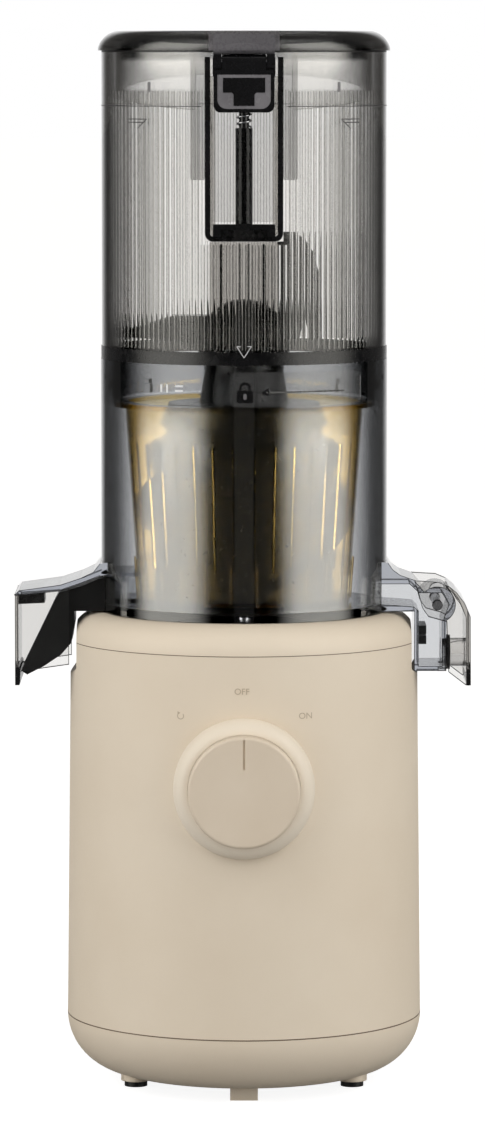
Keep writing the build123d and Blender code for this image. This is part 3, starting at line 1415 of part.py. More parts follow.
def hinge_lugs():
    inner = KNUCKLE_HALF + SLIP
    lugs = []
    for start in (inner, -inner - LUG_WIDTH):
        face = Plane.YZ.offset(start) * make_face(
            Polyline(
                (HOPPER_IN_R, HINGE_Z - LUG_DROP),
                (HOPPER_R + 1, HINGE_Z - LUG_DROP),
                (HINGE_Y + HINGE_R, HINGE_Z - 3),
                (HINGE_Y + HINGE_R, HINGE_Z),
                (HINGE_Y - HINGE_R, HINGE_Z),
                (HOPPER_IN_R, HINGE_Z),
                close=True,
            )
        )
        lug = extrude(face, LUG_WIDTH) + along_x(HINGE_R, start, start + LUG_WIDTH, HINGE_Y, HINGE_Z)
        lugs.append(lug - along_x(HINGE_PIN_R + SNUG, start, start + LUG_WIDTH, HINGE_Y, HINGE_Z))
    return lugs[0] + lugs[1] - disc(HOPPER_IN_R, HINGE_Z - FAR, RIM_Z)


def hopper_base_ring():
    return ring(BAND_R, BAND_R - BAND_WALL, HOPPER_Z, HOPPER_Z + BAND_HEIGHT)


def lid_hinge_pin():
    half = KNUCKLE_HALF + SLIP + LUG_WIDTH
    return along_x(HINGE_PIN_R, -half, half, HINGE_Y, HINGE_Z)


def rod_guide_tube():
    return ring(TUBE_R, ROD_R + SLIP, NICHE_FLOOR_Z, NICHE_FLOOR_Z + TUBE_HEIGHT, 0, ROD_Y)


def interlock_rod():
    head_low = ROD_TOP_Z - ROD_HEAD
    head = disc(ROD_HEAD_R, head_low, ROD_TOP_Z, 0, ROD_Y)
    return head + disc(ROD_R, NICHE_Z + 1, head_low, 0, ROD_Y)


def rod_spring():
    low = NICHE_FLOOR_Z + TUBE_HEIGHT + ROD_SPRING_WIRE_R + SNUG
    high = ROD_TOP_Z - ROD_HEAD - ROD_SPRING_WIRE_R - SNUG
    path = Helix((high - low) / ROD_SPRING_TURNS, high - low, ROD_SPRING_R)
    wire = Plane(path @ 0, z_dir=path % 0) * Circle(ROD_SPRING_WIRE_R)
    return Pos(0, ROD_Y, low) * sweep(wire, path=path)


# ---- Lid -----------------------------------------------------------------
def lid_outline(inset):
    """The lid's domed outline, moved in by inset at the top and the shoulder."""
    radius = LID_R - inset
    top = TOP_Z - inset
    rise_z = LID_Z + LID_EDGE
    shoulder = LID_SHOULDER
    return turned(
        [
            Line((0, LID_Z), (radius, LID_Z)),
            Line((radius, LID_Z), (radius, rise_z)),
            ThreePointArc(
                (radius, rise_z),
                (radius - shoulder * (1 - QUARTER), rise_z + (top - rise_z) * QUARTER),
                (radius - shoulder, top),
            ),
            Line((radius - shoulder, top), (0, top)),
            Line((0, top), (0, LID_Z)),
        ]
    )


def lid_slab(half):
    return block(-half, half, -LID_R - 1, LID_R + 1, LID_Z - 1, TOP_Z + 1)


def hinge_notch():
    return block(-HINGE_NOTCH_HALF, HINGE_NOTCH_HALF, HOPPER_R, LID_R + 10, LID_Z - 1, TOP_Z + 1)


def lid():
    room_r = LID_R - LID_RIM
    under = TOP_Z - LID_SKIN
    shell = lid_outline(0) - turned_points(
        (0, LID_Z - 1), (room_r, LID_Z - 1), (room_r, under - 2), (room_r - 2, under), (0, under)
    )
    shell -= (lid_outline(0) - lid_outline(BAND_DEPTH)) & lid_slab(LID_BAND_HALF + SNUG)
    shell += lid_skirt()
    knuckle_half = KNUCKLE_HALF + SNUG
    shell -= block(-knuckle_half, knuckle_half, LID_R - 8, LID_R + 10, LID_Z - 1, TOP_Z + 1)
    half = EAR_HALF + SNUG
    shell -= block(-half, half, -LID_R - 1, pusher_back_y() + SNUG, LID_Z - 1, band_under_z())
    return shell - hinge_notch()


def band_under_z():
    return TOP_Z - BAND_DEPTH


def lid_skirt():
    """A ring inside the hopper's mouth, cut on a slant and open at the niche."""
    high = TOP_Z - LID_SKIN
    low = SKIRT_MID_Z - SKIRT_R / 2
    skirt = ring(SKIRT_R, SKIRT_R - SKIRT_WALL, low, high)
    below = Rot(SKIRT_SLOPE_DEG, 0, 0) * Pos(0, 0, -FAR / 2) * Box(FAR, FAR, FAR)
    skirt -= Pos(0, 0, SKIRT_MID_Z) * below
    notch = SKIRT_NOTCH_HALF
    return skirt - block(-notch, notch, -LID_R, 0, low, LID_Z)


def pusher_back_y():
    return ROD_Y + PUSHER_HALF / 2 + 1


def lid_band():
    strip = (lid_outline(0) - lid_outline(BAND_DEPTH)) & lid_slab(LID_BAND_HALF)
    strip -= hinge_notch()
    web = block(-KNUCKLE_HALF, KNUCKLE_HALF, LID_R - 7.5, HINGE_Y, HINGE_Z + 1, TOP_Z - 1)
    web &= disc(HINGE_Y + HINGE_R, 0, TOP_Z)
    web += along_x(HINGE_R, -KNUCKLE_HALF, KNUCKLE_HALF, HINGE_Y, HINGE_Z)
    web -= along_x(HINGE_PIN_R + RUN, -KNUCKLE_HALF, KNUCKLE_HALF, HINGE_Y, HINGE_Z)
    web -= disc(HOPPER_R + SLIP, 0, LID_Z)
    return strip + web + latch_mount()


def latch_mount():
    """The front of the band: two ears for the latch's pin, and the rod's pusher."""
    back = pusher_back_y()
    ears_back = LATCH_PIN_Y + LATCH_KNUCKLE_R + SLIP
    mount = block(-EAR_HALF, EAR_HALF, LATCH_FACE_Y, back, BRIDGE_Z, band_under_z())
    mount += block(-EAR_HALF, EAR_HALF, LATCH_FACE_Y, ears_back, EAR_BOTTOM_Z, BRIDGE_Z)
    inner = LATCH_KNUCKLE_HALF + SLIP
    mount -= block(-inner, inner, LATCH_FACE_Y - 1, ears_back + 1, EAR_BOTTOM_Z - 1, BRIDGE_Z - SLIP)
    mount += block(-PUSHER_HALF, PUSHER_HALF, back - PUSHER_HALF, back, ROD_TOP_Z + SLIP, BRIDGE_Z)
    return mount - along_x(LATCH_PIN_R + SNUG, -EAR_HALF, EAR_HALF, LATCH_PIN_Y, LATCH_PIN_Z)


def lid_gasket():
    half = EAR_HALF + SNUG
    gasket = ring(GASKET_R, GASKET_R - GASKET_WIDTH, RIM_Z, LID_Z)
    return gasket - block(-half, half, -GASKET_R - 1, 0, RIM_Z, LID_Z)


def latch_pin():
    return along_x(LATCH_PIN_R, -EAR_HALF, EAR_HALF, LATCH_PIN_Y, LATCH_PIN_Z)


def lid_latch():
    face = LATCH_FACE_Y
    back = face + LATCH_THICKNESS
    plate = block(-LATCH_HALF, LATCH_HALF, face, back, LATCH_BOTTOM_Z, LATCH_TOP_Z)
    corners = plate.edges().filter_by(Axis.Y).group_by(Axis.Z)[0]
    plate = fillet(corners, LATCH_CORNER)
    half = LATCH_KNUCKLE_HALF
    plate += block(-half, half, face, back, LATCH_TOP_Z - 1, LATCH_PIN_Z)
    plate += along_x(LATCH_KNUCKLE_R, -half, half, LATCH_PIN_Y, LATCH_PIN_Z)
    low = LATCH_BOTTOM_Z
    outer = LATCH_HALF - LATCH_CORNER
    nose = block(CATCH_INNER_X + 1, outer, back - 1, CATCH_Y - SLIP, low, low + NOSE_HEIGHT)
    plate += nose + mirror(nose, Plane.YZ)
    plate -= grip_recess()
    return plate - along_x(LATCH_PIN_R + RUN, -half, half, LATCH_PIN_Y, LATCH_PIN_Z)


def grip_recess():
    """A T-shaped finger hollow in the latch's face."""
    face = LATCH_FACE_Y
    back = face + GRIP_DEPTH
    middle = (LATCH_TOP_Z + LATCH_BOTTOM_Z) / 2
    bar = block(-GRIP_HALF, GRIP_HALF, face, back, middle, middle + GRIP_BAR)
    stem = block(-GRIP_STEM_HALF, GRIP_STEM_HALF, face, back, middle - GRIP_STEM, middle + 1)
    return bar + stem


NODES = {
    "body_shell": body_shell,
    "top_housing": top_housing,
    "base_cover": base_cover,
    "rubber_feet": rubber_feet,
    "case_screws": case_screws,
    "control_knob": control_knob,
    "knob_shaft": knob_shaft,
    "rotary_switch": rotary_switch,
    "switch_screws": switch_screws,
    "cord_gland": cord_gland,
    "control_board": control_board,
    "bowl_sensor": bowl_sensor,
    "motor_can": motor_can,
    "motor_end_bell": motor_end_bell,
    "motor_bearings": motor_bearings,
    "stator_core": stator_core,
    "stator_windings": stator_windings,
    "rotor_core": rotor_core,
    "motor_shaft": motor_shaft,
    "cooling_fan": cooling_fan,
    "sun_gear": sun_gear,
    "gearbox_housing": gearbox_housing,
    "ring_gear": ring_gear,
    "first_carrier": first_carrier,
    "output_carrier": output_carrier,
    "output_shaft": output_shaft,
    "gearbox_cover": gearbox_cover,
    "output_bearings": output_bearings,
    "mount_bushes": mount_bushes,
    "shaft_seal": shaft_seal,
    "juicing_bowl": juicing_bowl,
    "bowl_seal": bowl_seal,
    "bowl_magnet": bowl_magnet,
    "spout_packing": spout_packing,
    "juice_cap": juice_cap,
    "juice_cap_pin": juice_cap_pin,
    "juice_cap_seal": juice_cap_seal,
    "pulp_chute": pulp_chute,
    "pulp_hood": pulp_hood,
    "hood_clip": hood_clip,
    "strainer": strainer,
    "auger": auger,
    "feed_wing": feed_wing,
    "hopper": hopper,
    "hopper_base_ring": hopper_base_ring,
    "lid_hinge_pin": lid_hinge_pin,
    "rod_guide_tube": rod_guide_tube,
    "interlock_rod": interlock_rod,
    "rod_spring": rod_spring,
    "lid": lid,
    "lid_band": lid_band,
    "lid_gasket": lid_gasket,
    "latch_pin": latch_pin,
    "lid_latch": lid_latch,
}


def main():
    os.makedirs("parts", exist_ok=True)
    for name, make in NODES.items():
        export_step(make(), f"parts/{name}.step")
    for number, degrees in enumerate(planet_angles(), start=1):
        first = planet(STAGE_1_Z, STAGE_1_Z + GEAR_FACE_1, degrees)
        second = planet(STAGE_2_Z, STAGE_2_Z + GEAR_FACE_2, degrees)
        export_step(first, f"parts/first_planet_{number}.step")
        export_step(second, f"parts/second_planet_{number}.step")


main()
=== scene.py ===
# %% [markdown]
# # Dressing a cold press juicer
# The juicer's solids are already built and packed as a frame: sixty nodes that stand where they belong.
# This lesson gives each of them a finish, adds the small things that only show up close, such as the flutes
# inside the hopper and the marks on the collar, and sets up a plain white studio.

# %% Load the frame
import math

import bpy
import numpy as np
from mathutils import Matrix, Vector


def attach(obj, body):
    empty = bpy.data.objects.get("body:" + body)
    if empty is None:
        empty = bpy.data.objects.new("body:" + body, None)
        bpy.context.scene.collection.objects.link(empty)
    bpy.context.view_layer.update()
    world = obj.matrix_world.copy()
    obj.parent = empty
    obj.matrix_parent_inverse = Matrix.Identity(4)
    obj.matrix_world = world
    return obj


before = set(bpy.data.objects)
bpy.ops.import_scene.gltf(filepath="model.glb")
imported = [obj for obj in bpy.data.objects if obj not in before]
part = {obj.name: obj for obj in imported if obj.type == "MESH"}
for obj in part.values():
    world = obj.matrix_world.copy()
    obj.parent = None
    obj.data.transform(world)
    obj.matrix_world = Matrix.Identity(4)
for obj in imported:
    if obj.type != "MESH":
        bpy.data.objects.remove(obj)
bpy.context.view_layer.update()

# %% [markdown]
# ## The camera
# The juicer is seen from straight in front and a little above. A long lens far away keeps its tube shapes
# upright, and the slight downward tilt shows the rims as shallow ellipses. A wide lens near the object would be
# easier to place, but it would spread the spouts and bend the body.

# %% Camera
lens = bpy.data.cameras.new("studio_lens")
lens.sensor_fit = "VERTICAL"
lens.sensor_height = 36.0
lens.lens = 171.6
lens.clip_end = 60.0
camera = bpy.data.objects.new("studio_camera", lens)
camera.location = (-0.00065, -2.35, 0.452)
camera.rotation_euler = (math.radians(90 - 5.465), 0, 0)
bpy.context.scene.collection.objects.link(camera)
bpy.context.scene.camera = camera
bpy.context.scene.view_settings.view_transform = "Standard"
print("camera at", tuple(round(c, 3) for c in camera.location))

# %% [markdown]
# ## The studio
# A product like this is shot on white, between two tall soft boxes that stand on the floor at its left and right
# front. They leave the middle a little darker and put a long pale gloss on each side of every tube. The white
# behind it is only what the eye and the clear plastic see. Turning the lamps up until the wall went white would
# bleach the beige too.

# %% Sky
bpy.context.scene.cycles.max_bounces = 24
bpy.context.scene.cycles.transmission_bounces = 24
world = bpy.data.worlds.new("studio_sky")
bpy.context.scene.world = world
world.use_nodes = True
sky = world.node_tree
sky.nodes.clear()


def calculate(tree, operation, first, second):
    """A Math node: first and second are sockets or numbers."""
    sum_node = tree.nodes.new("ShaderNodeMath")
    sum_node.operation = operation
    for socket, value in zip(sum_node.inputs, (first, second)):
        if isinstance(value, (int, float)):
            socket.default_value = value
        else:
            tree.links.new(value, socket)
    return sum_node.outputs[0]


def ramp(tree, value, start, end, low=0.0, high=1.0, ease="LINEAR"):
    """A Map Range node: low where value is at or before start, high at or past end, and in step between. With
    the ease SMOOTHSTEP it starts and stops gently, as 3 t^2 - 2 t^3."""
    node = tree.nodes.new("ShaderNodeMapRange")
    node.interpolation_type = ease
    for socket, number in (("From Min", start), ("From Max", end), ("To Min", low), ("To Max", high)):
        node.inputs[socket].default_value = number
    tree.links.new(value, node.inputs["Value"])
    return node.outputs["Result"]


def after_mirror(tree):
    """1 for a ray that a surface has mirrored at least once, and 0 for any other."""
    path = tree.nodes.new("ShaderNodeLightPath")
    return calculate(tree, "GREATER_THAN", path.outputs["Glossy Depth"], 0.5)


def seen_directly(tree, coordinates):
    """1 for rays from the eye and straight through clear plastic, 0 for the rays that light things. Rays that a
    surface has mirrored see the white only where it is straight behind the juicer, because a studio is dark at
    the sides and in front: their share rises to 1 as y / length of the coordinates goes from 0.86 to 0.99."""
    path = tree.nodes.new("ShaderNodeLightPath")
    unit = tree.nodes.new("ShaderNodeVectorMath")
    unit.operation = "NORMALIZE"
    parts = tree.nodes.new("ShaderNodeSeparateXYZ")
    tree.links.new(coordinates, unit.inputs[0])
    tree.links.new(unit.outputs["Vector"], parts.inputs["Vector"])
    share = ramp(tree, parts.outputs["Y"], 0.86, 0.99, 0.07, ease="SMOOTHSTEP")
    looking = calculate(tree, "MAXIMUM", path.outputs["Is Glossy Ray"], path.outputs["Is Transmission Ray"])
    dimmed = calculate(tree, "MULTIPLY", after_mirror(tree), calculate(tree, "SUBTRACT", 1.0, share))
    seen = calculate(tree, "MULTIPLY", looking, calculate(tree, "SUBTRACT", 1.0, dimmed))
    return calculate(tree, "MAXIMUM", path.outputs["Is Camera Ray"], seen)


SOFT_SKY = 0.34
SOFT_SKY_MIRRORED = 0.25 * SOFT_SKY
white_sky = sky.nodes.new("ShaderNodeBackground")
white_sky.inputs["Color"].default_value = (1, 1, 1, 1)
white_sky.inputs["Strength"].default_value = 1.0
soft_sky = sky.nodes.new("ShaderNodeBackground")
soft_sky.inputs["Color"].default_value = (1, 0.93, 0.82, 1)
sky_choice = sky.nodes.new("ShaderNodeMixShader")
sky_out = sky.nodes.new("ShaderNodeOutputWorld")
direction = sky.nodes.new("ShaderNodeTexCoord").outputs["Generated"]
sky.links.new(seen_directly(sky, direction), sky_choice.inputs[0])
soft_strength = ramp(sky, after_mirror(sky), 0.0, 1.0, SOFT_SKY, SOFT_SKY_MIRRORED)
sky.links.new(soft_strength, soft_sky.inputs["Strength"])
sky.links.new(soft_sky.outputs[0], sky_choice.inputs[1])
sky.links.new(white_sky.outputs[0], sky_choice.inputs[2])
sky.links.new(sky_choice.outputs[0], sky_out.inputs["Surface"])
print("sky:", white_sky.inputs["Strength"].default_value, "seen,", SOFT_SKY, "lighting")

# %% [markdown]
# ## The lamps
# Area lamps are the soft boxes. The two at the sides do most of the lighting, and a weak one above keeps the
# dial's top and the shoulder from going dull. The side boxes are never mirrored, because a lamp mirrored in clear
# plastic is a hard white box. The next step draws the gloss instead.

# %% Lamps
def softbox(name, place, aim, width, height, power):
    """A rectangular lamp at place that faces aim, all in metres, with power in watts."""
    data = bpy.data.lights.new(name, "AREA")
    data.shape = "RECTANGLE"
    data.size = width
    data.size_y = height
    data.energy = power
    lamp = bpy.data.objects.new(name, data)
    lamp.location = place
    lamp.rotation_euler = (Vector(aim) - Vector(place)).to_track_quat("-Z", "Y").to_euler()
    bpy.context.scene.collection.objects.link(lamp)
    return lamp


def side_box(name, angle, distance, power):
    """A soft box on the floor, 1.3 m wide and 1.7 m tall, angle degrees to the right of straight in front."""
    turn = math.radians(angle)
    place = (distance * math.sin(turn), -distance * math.cos(turn), 0.86)
    lamp = softbox(name, place, (0, 0, 0.86), 1.3, 1.7, power)
    lamp.data.color = (0.98, 0.99, 1.0)
    lamp.visible_camera = False
    lamp.visible_transmission = False
    return lamp


side_box("left_softbox", -58, 1.25, 15.5).visible_glossy = False
side_box("right_softbox", 58, 1.25, 15.8).visible_glossy = False
softbox("top_softbox", (0.0, -0.9, 2.2), (0, 0, 0.3), 1.2, 0.8, 1.5).visible_camera = False

# %% [markdown]
# ## What the gloss shows
# A real soft box is brightest in its middle and fades to its edges, and a shiny tube shows that fading as a soft
# pale stripe. A lamp has hard edges, so the stripes come from two curved cards that glow only for mirror rays and
# fade by angle. They light nothing: the lamps do that.

# %% Glow cards
CARD_RADIUS = 1.5
CARD_HEIGHT = 2.0
CARD_MIDDLE_DEG, CARD_HALF_DEG = 62, 54
HILL_HALF_DEG = 37
HILL_TOP_COSINE = 0.995


def curved_card(name, start, end, radius, height, columns=24):
    """A piece of a standing tube: (radius * sin a, -radius * cos a, v) for a from start to end degrees and v from
    0 to height metres."""
    a, v = np.meshgrid(np.radians(np.linspace(start, end, columns)), [0.0, height], indexing="ij")
    points = np.stack([radius * np.sin(a), -radius * np.cos(a), v], -1).reshape(-1, 3)
    left = np.arange(columns - 1) * 2
    mesh = bpy.data.meshes.new(name)
    mesh.from_pydata(points.tolist(), [], np.stack([left, left + 1, left + 3, left + 2], -1).tolist())
    card = bpy.data.objects.new(name, mesh)
    bpy.context.scene.collection.objects.link(card)
    for way in ("camera", "diffuse", "shadow", "volume_scatter"):
        setattr(card, "visible_" + way, False)
    return card


def card_glow(name, middle, strengths):
    """A glow that falls from its strength at the middle angle to nothing HILL_HALF_DEG away, as a smooth hill.
    It has three strengths: up to 185 mm above the floor, which the bowl mirrors, from 210 to 435 mm, which the
    hopper mirrors, and from 450 mm up for the lid. Only rays that a surface has mirrored meet it."""
    material = bpy.data.materials.new(name)
    material.use_nodes = True
    tree = material.node_tree
    tree.nodes.clear()
    place = tree.nodes.new("ShaderNodeNewGeometry").outputs["Position"]
    along = tree.nodes.new("ShaderNodeVectorMath")
    along.operation = "DOT_PRODUCT"
    turn = math.radians(middle)
    along.inputs[1].default_value = (math.sin(turn) / CARD_RADIUS, -math.cos(turn) / CARD_RADIUS, 0)
    tree.links.new(place, along.inputs[0])
    hill_foot = math.cos(math.radians(HILL_HALF_DEG))
    hill = ramp(tree, along.outputs["Value"], hill_foot, HILL_TOP_COSINE, ease="SMOOTHSTEP")
    height = tree.nodes.new("ShaderNodeSeparateXYZ")
    tree.links.new(place, height.inputs["Vector"])
    level = strengths[0]
    for start, end, before, after in ((0.185, 0.21, *strengths[:2]), (0.435, 0.45, *strengths[1:])):
        step = ramp(tree, height.outputs["Z"], start, end, 0.0, after - before)
        level = calculate(tree, "ADD", level, step)
    glow = tree.nodes.new("ShaderNodeEmission")
    glow.inputs["Color"].default_value = (1, 0.98, 0.91, 1)
    tree.links.new(calculate(tree, "MULTIPLY", hill, level), glow.inputs["Strength"])
    choice = tree.nodes.new("ShaderNodeMixShader")
    tree.links.new(after_mirror(tree), choice.inputs[0])
    tree.links.new(tree.nodes.new("ShaderNodeBsdfTransparent").outputs[0], choice.inputs[1])
    tree.links.new(glow.outputs[0], choice.inputs[2])
    out = tree.nodes.new("ShaderNodeOutputMaterial")
    tree.links.new(choice.outputs[0], out.inputs["Surface"])
    return material


for side, middle in (("left", -CARD_MIDDLE_DEG), ("right", CARD_MIDDLE_DEG)):
    ends = (middle - CARD_HALF_DEG, middle + CARD_HALF_DEG)
    card = curved_card(side + "_card", *ends, CARD_RADIUS, CARD_HEIGHT)
    card.data.materials.append(card_glow(side + "_card_glow", middle, (6.8, 1.2, 4.6)))
    print(card.name, len(card.data.vertices), "points")

# %% [markdown]
# ## The floor
# The floor is a wide white sheet. To the eye it glows a little on top of the light that falls on it, so that it
# meets the white behind without an edge, yet it still darkens under the foot of the juicer. A pure glow would
# lose that shadow.

# %% Floor
def sheet_floor(half):
    """A flat square of side 2 * half at height 0: the points (u, v, 0) for u and v in {-half, half}."""
    u, v = np.meshgrid([-half, half], [-half, half], indexing="ij")
    points = np.stack([u, v, np.zeros_like(u)], -1).reshape(-1, 3)
    mesh = bpy.data.meshes.new("floor")
    mesh.from_pydata(points.tolist(), [], [(0, 2, 3, 1)])
    return bpy.data.objects.new("floor", mesh)


floor = sheet_floor(25.0)
bpy.context.scene.collection.objects.link(floor)
floor_white = bpy.data.materials.new("floor_white")
floor_white.use_nodes = True
tree = floor_white.node_tree
tree.nodes.clear()
matte = tree.nodes.new("ShaderNodeBsdfDiffuse")
matte.inputs["Color"].default_value = (0.34, 0.34, 0.34, 1)
glow = tree.nodes.new("ShaderNodeEmission")
position = tree.nodes.new("ShaderNodeNewGeometry").outputs["Position"]
lift = calculate(tree, "MULTIPLY", seen_directly(tree, position), 0.9)
tree.links.new(lift, glow.inputs["Strength"])
both = tree.nodes.new("ShaderNodeAddShader")
tree.links.new(matte.outputs[0], both.inputs[0])
tree.links.new(glow.outputs[0], both.inputs[1])
out = tree.nodes.new("ShaderNodeOutputMaterial")
tree.links.new(both.outputs[0], out.inputs["Surface"])
floor.data.materials.append(floor_white)
print("floor:", len(floor.data.vertices), "points")

# %% [markdown]
# ## Finishes
# Moulded plastic is never one flat colour. It has a fine grain from the mould, cloudy patches where it cooled at
# different speeds, and a gloss that varies a little. All three come from noise in the object's own coordinates,
# which stays put when a piece moves. An image texture would do too, but noise has no seams and no file.

# %% Colours and the grained finish
def tone(red, green, blue):
    """A screen colour, 0 to 255, as light: ((c + 0.055) / 1.055) ** 2.4 above the dark end."""
    c = np.array([red, green, blue]) / 255.0
    light = np.where(c > 0.04045, ((c + 0.055) / 1.055) ** 2.4, c / 12.92)
    return (*light.tolist(), 1.0)


def noise(tree, size_mm, detail=2.0, stretch=(1, 1, 1)):
    """Noise whose lumps measure size_mm, in the object's coordinates, squeezed by stretch along x, y and z."""
    place = tree.nodes.new("ShaderNodeTexCoord")
    turn = tree.nodes.new("ShaderNodeMapping")
    turn.inputs["Scale"].default_value = stretch
    texture = tree.nodes.new("ShaderNodeTexNoise")
    texture.inputs["Scale"].default_value = 1000.0 / size_mm
    texture.inputs["Detail"].default_value = detail
    tree.links.new(place.outputs["Object"], turn.inputs["Vector"])
    tree.links.new(turn.outputs["Vector"], texture.inputs["Vector"])
    return texture.outputs["Fac"]


def spread(tree, value, low, high):
    """Stretches noise, which stays mostly between 0.3 and 0.7, to run from low to high."""
    return ramp(tree, value, 0.3, 0.7, low, high)


def blend_colours(tree, value, first, second):
    """The colour first where value is 0 and second where it is 1. Each is a colour or a socket."""
    mix = tree.nodes.new("ShaderNodeMix")
    mix.data_type = "RGBA"
    for socket, colour in ((mix.inputs["A"], first), (mix.inputs["B"], second)):
        if isinstance(colour, tuple):
            socket.default_value = colour
        else:
            tree.links.new(colour, socket)
    tree.links.new(value, mix.inputs["Factor"])
    return mix.outputs["Result"]


def grained(name, dark, light, gloss, grain_mm, grain_depth, cloud_mm=40, stretch=(1, 1, 1), metal=0.0):
    """An opaque finish: colour clouds between dark and light, roughness between the two numbers of gloss, and a
    bump of grain_mm wide lumps that are grain_depth mm deep."""
    material = bpy.data.materials.new(name)
    material.use_nodes = True
    tree = material.node_tree
    skin = tree.nodes["Principled BSDF"]
    skin.inputs["Metallic"].default_value = metal
    skin.inputs["Specular IOR Level"].default_value = 0.5 if metal else 0.4
    clouds = spread(tree, noise(tree, cloud_mm, 3.0), 0, 1)
    tree.links.new(blend_colours(tree, clouds, dark, light), skin.inputs["Base Color"])
    tree.links.new(spread(tree, noise(tree, grain_mm * 3, 2.0, stretch), *gloss), skin.inputs["Roughness"])
    bump = tree.nodes.new("ShaderNodeBump")
    bump.inputs["Strength"].default_value = 1.0
    bump.inputs["Distance"].default_value = grain_depth / 1000
    tree.links.new(noise(tree, grain_mm, 2.0, stretch), bump.inputs["Height"])
    tree.links.new(bump.outputs["Normal"], skin.inputs["Normal"])
    return material


# %% [markdown]
# ## Clear plastic
# The hopper and the bowl are smoked: the plastic swallows light, so a wall seen face on is pale and the same wall
# seen towards its edge is nearly black. Two things make that. The volume absorbs light along its path, and the
# surface passes less the flatter the light meets it, which stands for the many inner bounces of a real wall. With
# a plain tint, face and edge would be alike, and it would look like a film.

# %% The smoked finish
def facing(tree, start, end):
    """0 where a surface faces the viewer, 1 where it is seen flat: 1 - cos(angle), stretched from start to end."""
    layer = tree.nodes.new("ShaderNodeLayerWeight")
    layer.inputs["Blend"].default_value = 0.5
    return ramp(tree, layer.outputs["Facing"], start, end, ease="SMOOTHSTEP")


def absorb(tree, shade, reach_mm):
    """The volume leaves light of colour shade after reach_mm of plastic: exp(-(1 - colour) * density * d)."""
    inside = tree.nodes.new("ShaderNodeVolumeAbsorption")
    loss = -np.log(np.array(shade)) / (reach_mm / 1000)
    density = float(loss.max()) / 0.9
    inside.inputs["Density"].default_value = density
    inside.inputs["Color"].default_value = (*(1 - loss / density).tolist(), 1)
    tree.links.new(inside.outputs["Volume"], tree.nodes["Material Output"].inputs["Volume"])


def smoked(name, face, edge, shade, gloss, start=0.12, end=0.62):
    """A clear finish. A wall passes the colour face seen face on and edge seen flat, and its volume leaves shade
    after 2.5 mm. Roughness varies between the two numbers of gloss, with a slow ripple from the moulding."""
    material = bpy.data.materials.new(name)
    material.use_nodes = True
    tree = material.node_tree
    skin = tree.nodes["Principled BSDF"]
    tree.links.new(blend_colours(tree, facing(tree, start, end), face, edge), skin.inputs["Base Color"])
    skin.inputs["Transmission Weight"].default_value = 1.0
    skin.inputs["IOR"].default_value = 1.46
    tree.links.new(spread(tree, noise(tree, 12, 3.0), *gloss), skin.inputs["Roughness"])
    bump = tree.nodes.new("ShaderNodeBump")
    bump.inputs["Distance"].default_value = 0.00002
    tree.links.new(noise(tree, 25, 1.0), bump.inputs["Height"])
    tree.links.new(bump.outputs["Normal"], skin.inputs["Normal"])
    absorb(tree, shade, 2.5)
    return material


def grey(level, cool=0.0):
    """A light colour of that level, a little bluer by cool."""
    return (level, level + cool * 0.4, level + cool, 1.0)


# %% Every finish of the record
finishes = {
    "body_beige": grained("body_beige", tone(219, 205, 185), tone(224, 211, 192), (0.5, 0.62), 0.55, 0.045, 60),
    "knob_beige": grained("knob_beige", tone(212, 197, 177), tone(217, 203, 184), (0.42, 0.52), 0.5, 0.03, 30),
    "smoke_clear": smoked(
        "smoke_clear", grey(0.96, -0.008), grey(0.03), (0.97, 0.968, 0.965), (0.0, 0.04), 0.36, 0.72),
    "clear_tube": smoked("clear_tube", grey(0.5), grey(0.04), (0.4, 0.4, 0.42), (0.0, 0.04)),
    "black_plastic": grained("black_plastic", tone(8, 8, 9), tone(15, 15, 17), (0.2, 0.32), 0.8, 0.012, 20),
    "black_rubber": grained("black_rubber", tone(8, 8, 9), tone(15, 15, 16), (0.3, 0.45), 0.4, 0.02, 10),
    "auger_dark": grained("auger_dark", tone(15, 15, 14), tone(24, 23, 21), (0.16, 0.28), 0.9, 0.02, 30),
    "steel": grained(
        "steel", tone(168, 168, 172), tone(196, 196, 200), (0.2, 0.34), 0.3, 0.01, 15, (1, 1, 0.1), 1.0),
    "gear_steel": grained(
        "gear_steel", tone(126, 126, 132), tone(158, 158, 162), (0.3, 0.42), 0.3, 0.01, 12, metal=1.0),
    "gear_plastic": grained("gear_plastic", tone(212, 206, 190), tone(226, 221, 208), (0.38, 0.5), 0.5, 0.01, 14),
    "zinc": grained("zinc", tone(150, 152, 156), tone(184, 186, 190), (0.34, 0.5), 0.8, 0.03, 8, metal=1.0),
    "copper": grained("copper", tone(168, 92, 52), tone(196, 112, 66), (0.24, 0.38), 0.45, 0.08, 10, metal=1.0),
    "lamination": grained(
        "lamination", tone(92, 92, 98), tone(126, 126, 132), (0.36, 0.5), 0.5, 0.05, 10, (0.05, 0.05, 1), 0.9),
    "board_green": grained("board_green", tone(20, 74, 46), tone(28, 92, 58), (0.3, 0.42), 0.7, 0.02, 10),
    "grey_plastic": grained("grey_plastic", tone(150, 150, 152), tone(172, 172, 174), (0.4, 0.52), 0.7, 0.02, 16),
    "aluminium": grained(
        "aluminium", tone(178, 180, 184), tone(206, 208, 212), (0.28, 0.4), 0.4, 0.02, 12, metal=1.0),
}

# %% [markdown]
# ## The lid, the bowl and the strainer
# The lid is one moulding, dark on top and paler in the thin skirt that hangs inside the hopper, and the bowl is
# darker in its thick collar, so their tints change with height. The band across the lid does the same, from
# black to grey. The strainer is an amber resin: clear enough to show the auger, and warm where nothing is behind
# it.

